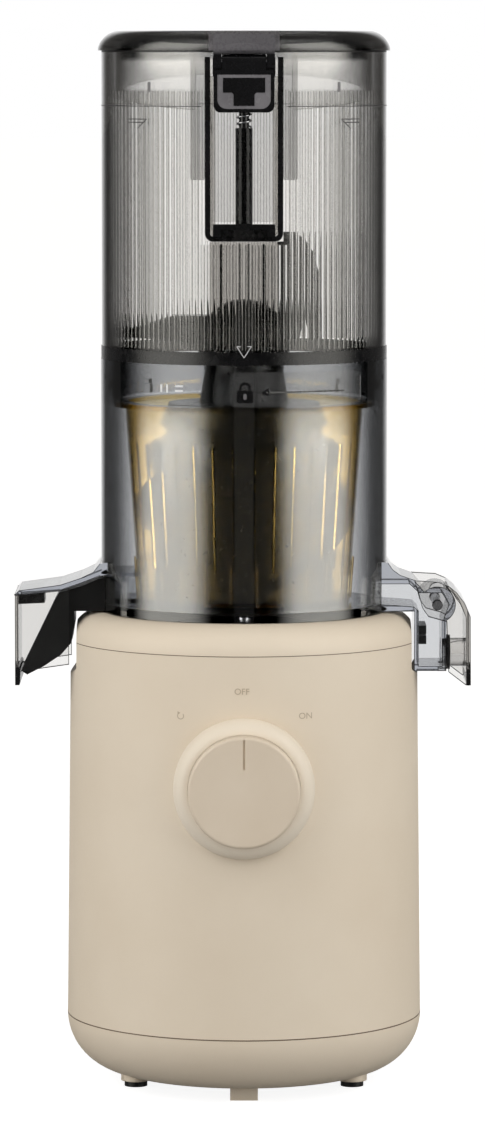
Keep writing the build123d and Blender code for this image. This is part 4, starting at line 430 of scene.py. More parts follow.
# %% Lid, bowl and strainer finishes
def change_with_height(material, low, from_mm, to_mm):
    """Gives the material the colour or socket low below from_mm above the floor. Above to_mm it keeps its own."""
    tree = material.node_tree
    height = tree.nodes.new("ShaderNodeSeparateXYZ")
    tree.links.new(tree.nodes.new("ShaderNodeTexCoord").outputs["Object"], height.inputs["Vector"])
    step = ramp(tree, height.outputs["Z"], from_mm / 1000, to_mm / 1000)
    base = tree.nodes["Principled BSDF"].inputs["Base Color"]
    high = base.links[0].from_socket
    tree.links.new(blend_colours(tree, step, low, high), base)
    return material


def two_heights(name, low_tint, high_tint, from_mm, to_mm, gloss, shade):
    """Smoked plastic that goes from the tint low_tint at from_mm to high_tint at to_mm above the floor. A tint is
    its colour face on, its colour seen flat, and the start and end of the way between the two."""
    material = smoked(name, *high_tint[:2], shade, gloss, *high_tint[2:])
    tree = material.node_tree
    low = blend_colours(tree, facing(tree, *low_tint[2:]), *low_tint[:2])
    return change_with_height(material, low, from_mm, to_mm)


def amber_resin(name):
    """A clear resin with amber clouds, whose volume swallows blue."""
    material = grained(name, tone(244, 226, 182), tone(250, 236, 198), (0.08, 0.16), 0.9, 0.01, 18)
    skin = material.node_tree.nodes["Principled BSDF"]
    skin.inputs["Transmission Weight"].default_value = 1.0
    skin.inputs["IOR"].default_value = 1.5
    absorb(material.node_tree, (0.92, 0.86, 0.66), 2.5)
    return material


skirt_tint = (grey(0.84, -0.01), grey(0.4), 0.2, 0.9)
lid_tint = (grey(0.34), grey(0.12), 0.12, 0.62)
finishes["lid_smoke"] = two_heights("lid_smoke", skirt_tint, lid_tint, 447, 449, (0.06, 0.12), (0.9, 0.9, 0.9))
wall_tint = (grey(0.86, 0.02), grey(0.06, 0.004), 0.2, 0.64)
collar_tint = (grey(0.6, 0.03), grey(0.04, 0.004), 0.12, 0.6)
bowl_shade = (0.95, 0.952, 0.957)
finishes["bowl_clear"] = two_heights("bowl_clear", wall_tint, collar_tint, 299, 301.5, (0.0, 0.05), bowl_shade)
finishes["spout_clear"] = smoked("spout_clear", grey(0.9, -0.008), grey(0.14), (0.955, 0.953, 0.95), (0.0, 0.04))
finishes["flute_clear"] = smoked(
    "flute_clear", grey(0.98, -0.008), grey(0.42), (0.98, 0.978, 0.975), (0.0, 0.03), 0.06, 0.22)
finishes["amber"] = amber_resin("amber")
band = grained("band_grey", tone(84, 82, 85), tone(94, 92, 95), (0.24, 0.32), 0.5, 0.004, 30)
finishes["band_grey"] = change_with_height(band, tone(12, 12, 14), 450, 452)
print("finishes:", len(finishes))

# %% [markdown]
# ## Which piece has which finish
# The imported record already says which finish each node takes: its material slot has a name. Reading the names
# keeps the two files in step, where a second list typed here could drift. Three nodes take a finish of their
# own: the band across the lid, and the two thin flaps of the spouts, which are paler than the hopper.

# %% Give the finishes to the nodes
def slot_of(name):
    """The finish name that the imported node's first material carries, without a copy number."""
    return part[name].material_slots[0].material.name.split(".")[0]


node_slots = {name: slot_of(name) for name in sorted(part)}
print(sorted(set(node_slots.values())))
own_finish = {"lid_band": "band_grey", "pulp_hood": "spout_clear", "juice_cap": "spout_clear"}
for name, slot_name in node_slots.items():
    for place in part[name].material_slots:
        place.material = finishes[own_finish.get(name, slot_name)]

# %% [markdown]
# ## A skin from rings
# Most small pieces here are skins stretched over rings of points: a flute is one outline carried up the wall, a
# mark is an outline with a second one just in front of it. One helper turns such rings into a closed mesh.

# %% The ring helper
def skin_rings(rings):
    """Vertices and faces of closed skins. rings[c, r, p] is point p of ring r of copy c. Ring r joins ring r + 1
    with four-sided faces, point p beside point p + 1, and a flat face closes the first and the last ring."""
    copies, count, points = rings.shape[:3]
    c, r, p = np.meshgrid(np.arange(copies), np.arange(count - 1), np.arange(points), indexing="ij")
    start = c * count * points
    after = (p + 1) % points
    corners = [start + r * points + p, start + r * points + after]
    corners += [start + (r + 1) * points + after, start + (r + 1) * points + p]
    sides = np.stack(corners, -1).reshape(-1, 4).tolist()
    first = np.arange(points)[::-1] + np.arange(copies)[:, None] * count * points
    last = np.arange(points) + (np.arange(copies)[:, None] * count + count - 1) * points
    return rings.reshape(-1, 3), sides + first.tolist() + last.tolist()


def inside_out(vertices, faces):
    """True if the faces point inwards: a closed skin's volume, the sum of a . (b x c) / 6 over its triangles, is
    then negative. A face with more corners is cut into triangles from its first corner."""
    fans = [(face[0], face[k], face[k + 1]) for face in faces for k in range(1, len(face) - 1)]
    a, b, c = (vertices[list(corner)] for corner in zip(*fans))
    return float((a * np.cross(b, c)).sum()) < 0


def piece(name, vertices, faces, body, slot_name, finish=None):
    """A finished object from vertices in millimetres. It rides on body and takes the finish that the record's
    slot_name names, or its own finish. Edges sharper than 38 degrees stay crisp and the rest shade smoothly."""
    vertices = np.asarray(vertices) / 1000
    if inside_out(vertices, faces):
        faces = [face[::-1] for face in faces]
    mesh = bpy.data.meshes.new(name)
    mesh.from_pydata(vertices.tolist(), [], faces)
    mesh.update()
    mesh.shade_smooth()
    mesh.set_sharp_from_angle(angle=math.radians(38))
    mesh.materials.append(finishes[finish or slot_name])
    obj = bpy.data.objects.new(name, mesh)
    bpy.context.scene.collection.objects.link(obj)
    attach(obj, body)
    print(name, "on", body, len(vertices), "points", len(faces), "faces")
    return obj


# %% [markdown]
# ## Flutes inside the hopper
# The hopper's inner wall carries upright half-round flutes, about 2.7 mm apart, that keep fruit from sticking. They
# bend what is seen through them, so the feed wing's outline breaks into stripes. Modelling them as real ridges
# lets the plastic do that bending by itself. A bump map would shade the wall but not bend the view.

# %% Flutes
def flutes(count, radius, width, height, low, high, keep):
    """Flutes on a tube's inner wall. A flute's outline is an arch, (width / 2 * cos t, height * sin t) for t from 0
    to 180 degrees, set against radius and carried from low to high. It is made where keep(angle) is true."""
    angle = (np.arange(count) + 0.5) * 2 * np.pi / count
    angle = angle[keep(angle)]
    t = np.linspace(0, np.pi, 9)
    a = angle[:, None, None] + width / 2 * np.cos(t)[None, None, :] / radius
    r = radius - height * np.sin(t)[None, None, :]
    z = np.array([low, high])[None, :, None]
    x, y, z = np.broadcast_arrays(r * np.sin(a), -r * np.cos(a), z)
    return skin_rings(np.stack([x, y, z], -1))


def behind_niche(angle):
    """True within 18 mm of the front centre line, where the niche takes the wall's place."""
    return (np.abs(np.sin(angle)) * 59.4 < 18.0) & (np.cos(angle) > 0)


FLUTES = 138
tall = flutes(FLUTES, 59.37, 1.7, 0.6, 324.8, 434.5, lambda angle: ~behind_niche(angle))
piece("hopper_flutes", *tall, "hopper", "smoke_clear", "flute_clear")
short = flutes(FLUTES, 59.37, 1.7, 0.6, 324.8, 369.5, behind_niche)
piece("hopper_flutes_under_niche", *short, "hopper", "smoke_clear", "flute_clear")

# %% [markdown]
# ## Marks on the body
# The dial's positions are printed in a slightly darker beige. Text objects are curves, so each is turned into a
# mesh, laid round the body and given its finish. Cutting letters into the shell would be heavier and look deeper.

# %% Print on the body
finishes["body_print"] = grained("body_print", tone(176, 160, 138), tone(184, 168, 146), (0.5, 0.6), 0.5, 0.01, 20)


SHELL_LOW_Z, SHELL_LOW_R = 31.0, 77.6
SHELL_TOP_Z, SHELL_TOP_R = 195.6, 75.8


def body_radius(z):
    """The body's radius at height z: straight from the shell's foot to its top seam."""
    return SHELL_LOW_R - (SHELL_LOW_R - SHELL_TOP_R) * (z - SHELL_LOW_Z) / (SHELL_TOP_Z - SHELL_LOW_Z)


def lay_on_body(x, z, lift):
    """Points at x across and z up, bent round the body's front and lift mm in front of it."""
    radius = body_radius(z) + lift
    return np.stack([x, -np.sqrt(radius**2 - x**2), z], -1)


def word(name, text, x, z, height):
    """A printed word centred on x, z, its capitals height mm tall, 0.06 mm thick."""
    curve = bpy.data.curves.new(name, "FONT")
    curve.body = text
    curve.align_x = "CENTER"
    curve.align_y = "CENTER"
    curve.size = height / 0.7
    curve.extrude = 0.03
    source = bpy.data.objects.new(name + "_outline", curve)
    bpy.context.scene.collection.objects.link(source)
    bpy.context.view_layer.update()
    mesh = bpy.data.meshes.new_from_object(source)
    bpy.data.objects.remove(source)
    flat = np.empty(len(mesh.vertices) * 3)
    mesh.vertices.foreach_get("co", flat)
    flat = flat.reshape(-1, 3)
    placed = lay_on_body(x + flat[:, 0], z + flat[:, 1], 0.04 + flat[:, 2])
    faces = [list(face.vertices) for face in mesh.polygons]
    bpy.data.meshes.remove(mesh)
    return piece(name, placed, faces, "base", "body_beige", "body_print")


word("mark_off", "OFF", -0.9, 180.7, 2.6)
word("mark_on", "ON", 26.2, 169.9, 2.6)

# %% [markdown]
# ## Flat marks and the reverse arrow
# Every mark that isn't a word is an outline of x and z. A placing function bends it round its tube, once just
# under the surface and once a little in front, and the two rings become a thin plate. The reverse sign is an
# open ring with a small arrow head.

# %% Reverse arrow
def flat_marks(outlines, body_point, thickness):
    """Closed plates from outlines[c, p] = (x, z): one ring 0.05 mm under the surface and one thickness mm over
    it."""
    x, z = outlines[..., 0], outlines[..., 1]
    near = body_point(x, z, thickness)
    back = body_point(x, z, -0.05)
    return skin_rings(np.stack([back, near], 1)[:, :, ::-1])


def arc_band(cx, cz, radius, width, start, end, points=24):
    """An open ring's outline: radius + width / 2 from start to end degrees and radius - width / 2 back again."""
    t = np.radians(np.linspace(start, end, points))
    outer = np.stack([cx + (radius + width / 2) * np.cos(t), cz + (radius + width / 2) * np.sin(t)], -1)
    t = t[::-1]
    inner = np.stack([cx + (radius - width / 2) * np.cos(t), cz + (radius - width / 2) * np.sin(t)], -1)
    return np.concatenate([outer, inner])[None]


turn = flat_marks(arc_band(-27.0, 169.9, 1.3, 0.4, 110, 400), lay_on_body, 0.06)
piece("mark_reverse_ring", *turn, "base", "body_beige", "body_print")
head = np.array([[[-28.3, 171.9], [-28.3, 170.6], [-27.1, 171.3]]])
piece("mark_reverse_head", *flat_marks(head, lay_on_body, 0.06), "base", "body_beige", "body_print")

# %% [markdown]
# ## Seam lines
# The shell, its top and its foot meet in fine dark joints. A joint is a gap a third of a millimetre wide, too thin
# to show as a gap at this scale, so a dark ring lies in it. Cutting a real groove would need far more faces.

# %% Seams
def seam(radius, flat, z, height, points=240):
    """A closed ring round the body at height z: (R sin a, -R cos a) with x kept within flat on both sides."""
    a = np.linspace(0, 2 * np.pi, points, endpoint=False)[:, None]
    out = np.array([-0.4, 0.03, 0.03, -0.4])[None, :]
    x = ((radius + out) * np.sin(a)).clip(-flat - out, flat + out)
    y = -(radius + out) * np.cos(a)
    up = np.broadcast_to(z + height * np.array([-0.5, -0.5, 0.5, 0.5])[None, :], x.shape)
    return np.stack([x, y, up], -1)


def skin_loop(rings):
    """Vertices and faces of one closed tube: rings[r, p], with the last ring joined to the first one."""
    count, points = rings.shape[:2]
    r, p = np.meshgrid(np.arange(count), np.arange(points), indexing="ij")
    s, q = (r + 1) % count, (p + 1) % points
    corners = [r * points + p, r * points + q, s * points + q, s * points + p]
    return rings.reshape(-1, 3), np.stack(corners, -1).reshape(-1, 4).tolist()


finishes["seam_brown"] = grained("seam_brown", tone(92, 74, 56), tone(112, 92, 72), (0.6, 0.7), 0.5, 0.01, 20)
SIDE_FLAT = 72.8
NO_FLAT = 90.0
top_seam = skin_loop(seam(SHELL_TOP_R, SIDE_FLAT, SHELL_TOP_Z, 0.32))
piece("top_seam", *top_seam, "base", "body_beige", "seam_brown")
foot_seam = skin_loop(seam(SHELL_LOW_R, NO_FLAT, SHELL_LOW_Z, 0.5))
piece("foot_seam", *foot_seam, "base", "body_beige", "seam_brown")

# %% [markdown]
# ## The dial's collar
# The dial stands in a soft raised ring, like clay drawn up round a coin. It is turned: one quarter of an ellipse
# goes round the dial's axis, steep at its outer edge and level beside the dial, so its flanks catch the lamps at
# the left and right. A flat ring would be as dull as the body's front. Its beige is also painted lighter than the
# body's, as a painted highlight for the lamps' light on its flanks.

# %% Collar
def turned_collar(inner, outer, back, height, rows=18, columns=160):
    """A ring round the dial's axis. For r from inner to outer its front is
    y = back - height * sqrt(1 - ((r - inner) / (outer - inner)) ** 2). Its back is flat and its inner wall
    straight."""
    t = np.linspace(0, np.pi / 2, rows)
    r = np.concatenate([inner + (outer - inner) * np.sin(t), [outer, inner]])
    y = np.concatenate([back - height * np.cos(t), [back + 0.4, back + 0.4]])
    a = np.linspace(0, 2 * np.pi, columns, endpoint=False)
    x, z = r[:, None] * np.cos(a), DIAL_Z + r[:, None] * np.sin(a)
    return skin_loop(np.stack([x, np.broadcast_to(y[:, None], x.shape), z], -1))


DIAL_Z = 139.5
# Painted highlight: the collar's beige is lighter than the body's, standing for the lamps' light on its flanks.
collar_highlight_low, collar_highlight_high = tone(228, 216, 198), tone(232, 221, 204)
finishes["collar_beige"] = grained("collar_beige", collar_highlight_low, collar_highlight_high, (0.5, 0.62), 0.55, 0.03, 60)
piece("dial_collar", *turned_collar(24.12, 30.15, -78.3, 7.4), "base", "body_beige", "collar_beige")

# %% [markdown]
# ## Marks on the clear parts
# The hopper has a fine line where its smooth rim ends, two engraved arrows and two short ticks, and the base ring
# has a pointed mark. The bowl's collar has ticks and a label plate with a padlock and an arrow, which say which
# way to turn the hopper. All are thin plates bent round their tube, so that they stay in place from every side.

# %% Bending round a tube
def round_tube(radius):
    """A placing function: x mm across the front and z mm up become a point on a tube of that radius. x is the
    straight distance from the centre line, so the point is (x, -sqrt(r * r - x * x), z)."""
    def place(x, z, lift):
        r = radius + lift
        return np.stack([x, -np.sqrt(np.maximum(r**2 - x**2, 0)), z], -1)
    return place


def bar(x0, z0, x1, z1, width, points=12):
    """The outline of a straight stroke from (x0, z0) to (x1, z1): the line moved half a width to each side."""
    t = np.linspace(0, 1, points)
    line = np.stack([x0 + (x1 - x0) * t, z0 + (z1 - z0) * t], -1)
    side = np.array([z0 - z1, x1 - x0]) / math.hypot(x1 - x0, z1 - z0) * width / 2
    return np.concatenate([line - side, (line + side)[::-1]])[None]


def strokes(name, runs, width, placer, body, slot_name, finish, thickness=0.12):
    """One piece from several straight strokes, each given as x0, z0, x1, z1 in mm."""
    lines = np.concatenate([bar(*run, width) for run in runs])
    return piece(name, *flat_marks(lines, placer, thickness), body, slot_name, finish)


HOPPER_OUT_R = 61.9
BASE_RING_R = 62.25
on_hopper = round_tube(HOPPER_OUT_R)
finishes["engraved"] = grained("engraved", tone(40, 39, 40), tone(56, 54, 56), (0.3, 0.4), 0.5, 0.01, 10)
finishes["pale_mark"] = grained("pale_mark", tone(206, 206, 208), tone(224, 224, 226), (0.3, 0.4), 0.5, 0.01, 10)
finishes["grey_mark"] = grained("grey_mark", tone(92, 90, 92), tone(110, 108, 110), (0.3, 0.4), 0.5, 0.01, 10)
for side, word_side in ((-1, "left"), (1, "right")):
    arrow = [(side * 49.5, 422.6, side * 41.5, 422.6), (side * 49.5, 421.2, side * 43.0, 421.2)]
    arrow += [(side * 41.5, 422.6, side * 45.5, 418.6)]
    strokes(f"arrow_{word_side}", arrow, 0.42, on_hopper, "hopper", "smoke_clear", "engraved")
    tick = [(side * 40.4, 434.2, side * 40.4, 438.4)]
    strokes(f"rim_tick_{word_side}", tick, 1.3, on_hopper, "hopper", "smoke_clear", "grey_mark")

# %% Hopper line and base mark
def arc_line(radius, z, height, start, end, points=180):
    """A fine band on a tube from start to end degrees, measured from the front towards +x, 0.1 mm proud."""
    a = np.radians(np.linspace(start, end, points))[:, None]
    r = radius + np.array([-0.1, 0.1, 0.1, -0.1])[None, :]
    up = np.broadcast_to(z + height * np.array([-0.5, -0.5, 0.5, 0.5])[None, :], (points, 4))
    return skin_rings(np.stack([r * np.sin(a), -r * np.cos(a), up], -1)[None])


piece("rim_line", *arc_line(HOPPER_OUT_R, 428.1, 0.36, 17, 343), "hopper", "smoke_clear", "engraved")
chevron = [(-3.1, 326.6, 0.0, 321.8), (0.0, 321.8, 3.1, 326.6)]
chevron += [(-3.1, 326.6, -1.4, 326.6), (1.4, 326.6, 3.1, 326.6)]
strokes("base_chevron", chevron, 0.25, round_tube(BASE_RING_R), "hopper", "black_plastic", "pale_mark")

# %% [markdown]
# ## The label on the bowl's collar
# The label plate is slightly milky and very thin. A wide plate can't be one flat outline: its cap would be cut
# into triangles that run through the collar. It is built from narrow upright slices instead, which follow the
# curve.

# %% Collar marks
def rounded_plate(x0, x1, z0, z1, radius, points=8):
    """A rounded rectangle's outline: four quarter circles of that radius, with extra points along its top and
    foot."""
    t = np.linspace(0, np.pi / 2, points)
    turns = [np.stack([np.cos(t + k * np.pi / 2), np.sin(t + k * np.pi / 2)], -1) * radius for k in range(4)]
    left, right, low, high = x0 + radius, x1 - radius, z0 + radius, z1 - radius
    middles = [(right, high), (left, high), (left, low), (right, low)]
    corners = [turn + np.array(middle) for turn, middle in zip(turns, middles)]
    run = np.linspace(right, left, 24)[1:-1]
    top = np.stack([run, np.full_like(run, z1)], -1)
    foot = np.stack([run[::-1], np.full_like(run, z0)], -1)
    return np.concatenate([corners[0], top, corners[1], corners[2], foot, corners[3]])[None]


def bent_panel(x0, x1, z0, z1, corner, inner, outer, columns=48):
    """A panel bent round the juicer's axis, between two radii, as upright slices from x0 to x1. A slice at distance
    d < corner from an end is shorter at its top and foot by corner - sqrt(corner^2 - (corner - d)^2)."""
    x = (x0 + x1) / 2 - (x1 - x0) / 2 * np.cos(np.linspace(0, np.pi, columns))
    near = np.clip(corner - np.minimum(x - x0, x1 - x), 0, corner)
    cut = corner - np.sqrt(corner**2 - near**2)
    front, back = -np.sqrt(outer**2 - x**2), -np.sqrt(inner**2 - x**2)
    low, high = z0 + cut, z1 - cut
    slices = [[x, front, low], [x, front, high], [x, back, high], [x, back, low]]
    return skin_rings(np.moveaxis(np.array(slices), -1, 0)[None])


PLATE_IN_R, PLATE_OUT_R = 62.43, 62.52
on_bowl = round_tube(62.4)
finishes["plate_film"] = smoked("plate_film", grey(0.8), grey(0.6), (0.98, 0.98, 0.98), (0.02, 0.06))
finishes["plate_film"].node_tree.nodes["Principled BSDF"].inputs["Transmission Weight"].default_value = 0.97
plate = bent_panel(-6.2, 50.0, 300.8, 315.6, 3.0, PLATE_IN_R, PLATE_OUT_R)
piece("collar_plate", *plate, "bowl", "bowl_clear", "plate_film")
on_plate = round_tube(PLATE_OUT_R)
lock = flat_marks(rounded_plate(-3.0, 3.8, 302.6, 307.9, 0.6), on_plate, 0.15)
piece("padlock_body", *lock, "bowl", "bowl_clear", "black_plastic")
shackle = arc_band(0.4, 308.9, 2.0, 1.0, -25, 205)
piece("padlock_shackle", *flat_marks(shackle, on_plate, 0.15), "bowl", "bowl_clear", "black_plastic")
keyhole = flat_marks(rounded_plate(-0.3, 1.1, 304.0, 306.6, 0.65), on_plate, 0.22)
piece("padlock_keyhole", *keyhole, "bowl", "bowl_clear", "grey_mark")
strokes("turn_arrow_shaft", [(9.5, 307.1, 43.0, 307.1)], 0.7, on_plate, "bowl", "bowl_clear", "black_plastic", 0.15)
head = np.array([[[7.2, 307.1], [10.6, 305.2], [10.6, 309.0]]])
piece("turn_arrow_head", *flat_marks(head, on_plate, 0.15), "bowl", "bowl_clear", "black_plastic")
ticks = [(-35.3, 306.6, -35.3, 310.0), (-32.8, 306.6, -32.8, 310.0)]
ticks += [(-29.4, 309.4, -26.0, 309.4), (-29.4, 307.4, -26.0, 307.4)]
strokes("collar_ticks", ticks, 0.8, on_bowl, "bowl", "bowl_clear", "pale_mark")

# %% [markdown]
# ## The latch and the niche
# The latch has a T-shaped hollow that a fingertip pulls on, and a raised border round it. The hollow is not cut:
# a dark T-shaped plate in front of the latch's face is painted shade, for the shade inside it. The niche behind it
# is a slot in the hopper whose side walls are seen through their whole depth, so its outline looks black. A dark
# trim lies on the front edges of those walls with a smoked lining inside it, a dark foot fills the slot's bottom,
# a smoked pane tints its back, and a thicker smoked cheek stands behind the wall on each side. A dark plate that
# rides on the lid fills the slot's top behind the latch: painted shade, so that no light shows in the gap round
# the latch. Under the niche, a smoky panel with four dark ribs stands for the channel that guides the rod's push
# down to the bowl.

# %% Latch and niche
def flat_front(y):
    """A placing function for a flat front at that y: (x, y - lift, z)."""
    def place(x, z, lift):
        return np.stack([x, np.full_like(x, y) - lift, z], -1)
    return place


on_latch = flat_front(-62.5)
finishes["cheek_smoke"] = smoked("cheek_smoke", grey(0.5), grey(0.2), (0.9, 0.9, 0.9), (0.0, 0.05), 0.05, 0.5)
finishes["latch_grey"] = grained("latch_grey", tone(104, 102, 105), tone(120, 118, 121), (0.2, 0.3), 0.8, 0.01, 12)


def border(half, low, high, corner, width, points=10):
    """A U-shaped band: down the left side, round two corners of that radius, and up the right side."""
    t = np.linspace(np.pi, 1.5 * np.pi, points)
    turn_in = np.stack([np.cos(t), np.sin(t)], -1)
    def line(inset):
        r = corner - inset
        left = turn_in * r + [-half + corner, low + corner]
        right = (turn_in * [-1, 1] * r)[::-1] + [half - corner, low + corner]
        return np.concatenate([[[-half + inset, high]], left, right, [[half - inset, high]]])
    return np.concatenate([line(0.0), line(width)[::-1]])[None]


piece("latch_border", *flat_marks(border(12.6, 425.9, 441.5, 5.0, 1.2), on_latch, 0.4), "latch", "black_plastic")
face = border(11.3, 427.1, 441.5, 4.0, 11.29)
piece("latch_face", *flat_marks(face, on_latch, 0.2), "latch", "black_plastic", "latch_grey")
# Painted shade: the dark T plate sits in front of the latch's face and stands for the shade inside the hollow.
tee_right = [[0, 428.4], [4.4, 428.4], [4.4, 433.2], [5.2, 434.0], [8.9, 434.0], [8.9, 440.2], [0, 440.2]]
tee_right = np.array(tee_right)
tee = np.concatenate([tee_right, (tee_right * [-1, 1])[::-1][1:-1]])[None]
piece("latch_tee_painted_shade", *flat_marks(tee, on_latch, 0.36), "latch", "black_plastic")
for side, word_side in ((-1, "left"), (1, "right")):
    cheek = rounded_plate(16.4, 22.4, 397.0, 449.0, 0.8) * [side, 1]
    cheek = flat_marks(cheek, round_tube(58.2), 1.0)
    piece(f"niche_cheek_{word_side}", *cheek, "hopper", "smoke_clear", "cheek_smoke")
foot = rounded_plate(-13.2, 13.2, 373.0, 378.4, 0.5)
piece("niche_foot", *flat_marks(foot, flat_front(-60.6), 0.5), "hopper", "smoke_clear", "black_plastic")
finishes["niche_film"] = smoked("niche_film", grey(0.76), grey(0.5), (0.97, 0.968, 0.965), (0.0, 0.04))
pane = rounded_plate(-12.9, 12.9, 379.0, 427.0, 0.5)
piece("niche_pane", *flat_marks(pane, flat_front(-50.6), 0.3), "hopper", "smoke_clear", "niche_film")
# Painted shade: a dark plate riding on the lid fills the gap behind the latch's top, where light would show.
shade = rounded_plate(-13.3, 13.3, 440.5, 449.0, 0.5)
piece("latch_painted_shade", *flat_marks(shade, flat_front(-59.5), 0.4), "lid", "black_plastic")
niche = border(16.6, 371.0, 449.0, 3.5, 2.3)
piece("niche_trim", *flat_marks(niche, on_hopper, 0.25), "hopper", "smoke_clear", "black_plastic")
finishes["channel_smoke"] = smoked(
    "channel_smoke", grey(0.5, -0.03), grey(0.3), (0.94, 0.92, 0.9), (0.0, 0.05), 0.05, 0.5)
lining = border(14.4, 373.0, 441.0, 2.6, 2.1)
piece("niche_lining", *flat_marks(lining, on_hopper, 0.2), "hopper", "smoke_clear", "channel_smoke")
channel = bent_panel(-14.4, 14.4, 326.0, 370.8, 0.8, 57.85, 58.4)
piece("rod_channel", *channel, "hopper", "smoke_clear", "channel_smoke")
RIB_PLACES = (-9.6, -1.9, 1.9, 8.2)
ribs = np.concatenate([rounded_plate(x - 0.45, x + 0.45, 327.0, 370.0, 0.2) for x in RIB_PLACES])
piece("channel_ribs", *flat_marks(ribs, round_tube(58.45), 0.3), "hopper", "smoke_clear", "black_plastic")

# %% [markdown]
# ## Drip edges and strainer ribs
# The juice flap and the pulp hood end in dark drip edges, so that drops let go cleanly. The strainer's foot has
# short upright ribs of the same amber, which catch the light.

# %% Drip edges and ribs
def pill(x, z, half_x, half_z, y0, y1, points=20):
    """A bar with rounded ends: an outline with power 4 instead of 2, |x/a|^4 + |z/b|^4 = 1, from y0 to y1."""
    t = np.linspace(0, 2 * np.pi, points, endpoint=False)
    across = half_x * np.sign(np.cos(t)) * np.sqrt(np.abs(np.cos(t)))
    up = half_z * np.sign(np.sin(t)) * np.sqrt(np.abs(np.sin(t)))
    depth = np.array([y0, y1])[:, None]
    x, y, z = np.broadcast_arrays(x + across[None, :], depth, z + up[None, :])
    return skin_rings(np.stack([x, y, z], -1)[None])


piece("cap_drip_edge", *pill(97.5, 180.5, 0.95, 3.6, -20.5, 20.5), "juice_cap", "smoke_clear", "black_plastic")
piece("hood_drip_edge", *pill(-98.2, 181.0, 0.95, 4.0, -20.0, 20.0), "bowl", "smoke_clear", "black_plastic")
RIBS = 26
turn_step = (np.arange(RIBS) + 0.5) * 2 * np.pi / RIBS
t = np.linspace(0, 2 * np.pi, 8, endpoint=False)
level = np.array([213.5, 231.5])
radius = 46.0 + (level - 212.3) * 6 / 87.7 + 0.35
x = radius[None, :, None] * np.sin(turn_step)[:, None, None] + 0.55 * np.cos(t)[None, None, :]
y = -radius[None, :, None] * np.cos(turn_step)[:, None, None] + 0.55 * np.sin(t)[None, None, :]
z = np.broadcast_to(level[None, :, None], x.shape)
piece("strainer_ribs", *skin_rings(np.stack([x, y, z], -1)), "bowl", "amber")

# %% [markdown]
# ## The auger's top land
# Above its last thread the auger carries a thick land with a groove, which stops fruit from climbing out of the
# strainer. It is round, so an outline of radius and height is turned about the auger's own axis.

# %% Auger land
def turned(radius, height, columns=120):
    """A closed ring: the points (radius[k], height[k]) turned about the z axis, x = r cos a and y = r sin a."""
    r, z = np.array(radius)[:, None], np.array(height)[:, None]
    a = np.linspace(0, 2 * np.pi, columns, endpoint=False)[None, :]
    return skin_loop(np.stack(np.broadcast_arrays(r * np.cos(a), r * np.sin(a), z), -1))


land_radius = [38.6, 39.6, 42.3, 42.6, 41.0, 36.2, 33.8, 34.6, 36.6, 35.4, 33.6, 32.8, 20.0, 19.0]
land_height = [268.4, 268.6, 274.0, 278.0, 281.2, 284.2, 286.0, 288.0, 290.0, 293.0, 297.0, 299.2, 299.2, 296.4]
piece("auger_land", *turned(land_radius, land_height), "auger", "auger_dark")

# %% [markdown]
# ## Dark edges of clear plastic
# The edges of a clear moulding are slightly rounded, and a rounded edge bends light so far aside that it looks
# like a fine dark line. Rounding every edge of the spouts would cost a great many faces, so a hair-thin dark
# bead is laid just inside each sharp edge instead. The edges are found in the frame's own mesh.

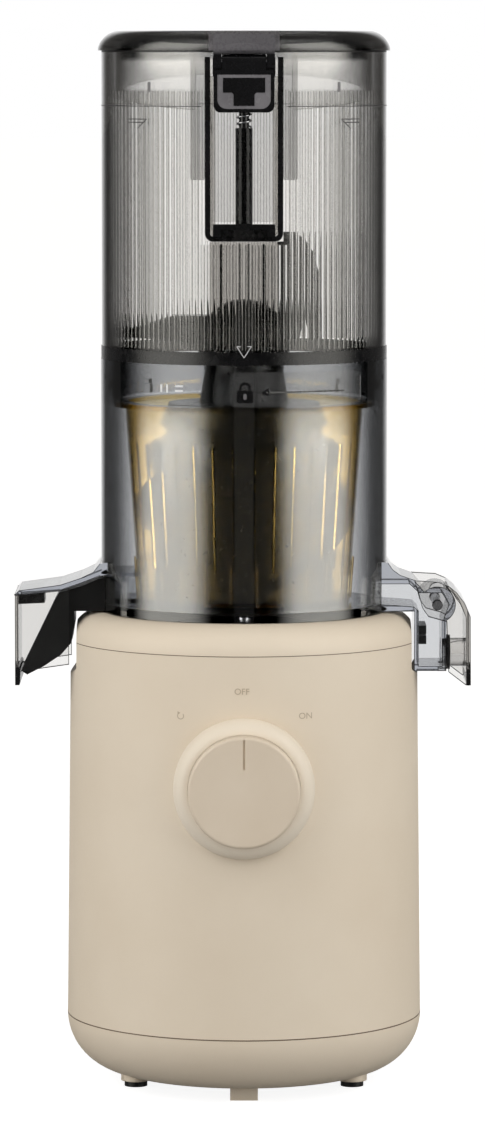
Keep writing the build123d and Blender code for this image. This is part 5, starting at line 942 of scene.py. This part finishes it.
# %% Find sharp edges
def sharp_edges(name, degrees):
    """Both ends and the mean normal of each edge of a node whose two faces differ by more than degrees. Loose
    triangles share an edge where their corners have the same place, rounded to a micrometre."""
    mesh = part[name].data
    points = np.empty(len(mesh.vertices) * 3)
    mesh.vertices.foreach_get("co", points)
    points = points.reshape(-1, 3)
    corners = np.empty(len(mesh.loops), dtype=np.int64)
    mesh.loops.foreach_get("vertex_index", corners)
    places, same = np.unique(np.round(points * 1e6).astype(np.int64), axis=0, return_inverse=True)
    triangles = same.reshape(-1)[corners].reshape(-1, 3)
    a, b, c = (places[triangles[:, k]] / 1e6 for k in range(3))
    normal = np.cross(b - a, c - a)
    size = np.linalg.norm(normal, axis=1)
    triangles, normal = triangles[size > 1e-14], normal[size > 1e-14] / size[size > 1e-14, None]
    pairs = np.sort(np.concatenate([triangles[:, [0, 1]], triangles[:, [1, 2]], triangles[:, [2, 0]]]), axis=1)
    owner = np.tile(np.arange(len(triangles)), 3)
    order = np.lexsort((pairs[:, 1], pairs[:, 0]))
    pairs, owner = pairs[order], owner[order]
    twin = np.flatnonzero((pairs[1:] == pairs[:-1]).all(1))
    first, second = normal[owner[twin]], normal[owner[twin + 1]]
    sharp = (first * second).sum(1) < math.cos(math.radians(degrees))
    ends = places[pairs[twin][sharp]] / 1000.0
    return ends, (first + second)[sharp]


def edge_beads(name, node, body, slot_name, keep, radius=0.17):
    """Four-sided beads of that radius along a node's sharp edges, each moved inwards by 1.5 radii, where keep(mid
    point in mm) is true."""
    ends, out = sharp_edges(node, 35)
    long_enough = np.linalg.norm(ends[:, 1] - ends[:, 0], axis=1) > 0.05
    chosen = keep(ends.mean(1)) & long_enough & (np.linalg.norm(out, axis=1) > 0.05)
    ends, out = ends[chosen], out[chosen]
    out = out / np.linalg.norm(out, axis=1, keepdims=True)
    along = ends[:, 1] - ends[:, 0]
    along = along / np.linalg.norm(along, axis=1, keepdims=True)
    aside = np.cross(along, out)
    middle = ends - 1.5 * radius * out[:, None, :]
    ring = np.stack([out, aside, -out, -aside], 1) * radius
    return piece(name, *skin_rings(middle[:, :, None, :] + ring[:, None, :, :]), body, slot_name, "edge_dark")


finishes["edge_dark"] = grained("edge_dark", tone(22, 21, 24), tone(34, 32, 36), (0.3, 0.4), 0.5, 0.01, 10)
edge_beads("cap_edges", "juice_cap", "juice_cap", "smoke_clear", lambda m: m[:, 2] > 0)
edge_beads("hood_edges", "pulp_hood", "bowl", "smoke_clear", lambda m: m[:, 2] > 0)
edge_beads("spout_edges", "juicing_bowl", "bowl", "bowl_clear", lambda m: np.abs(m[:, 0]) > 63.5)
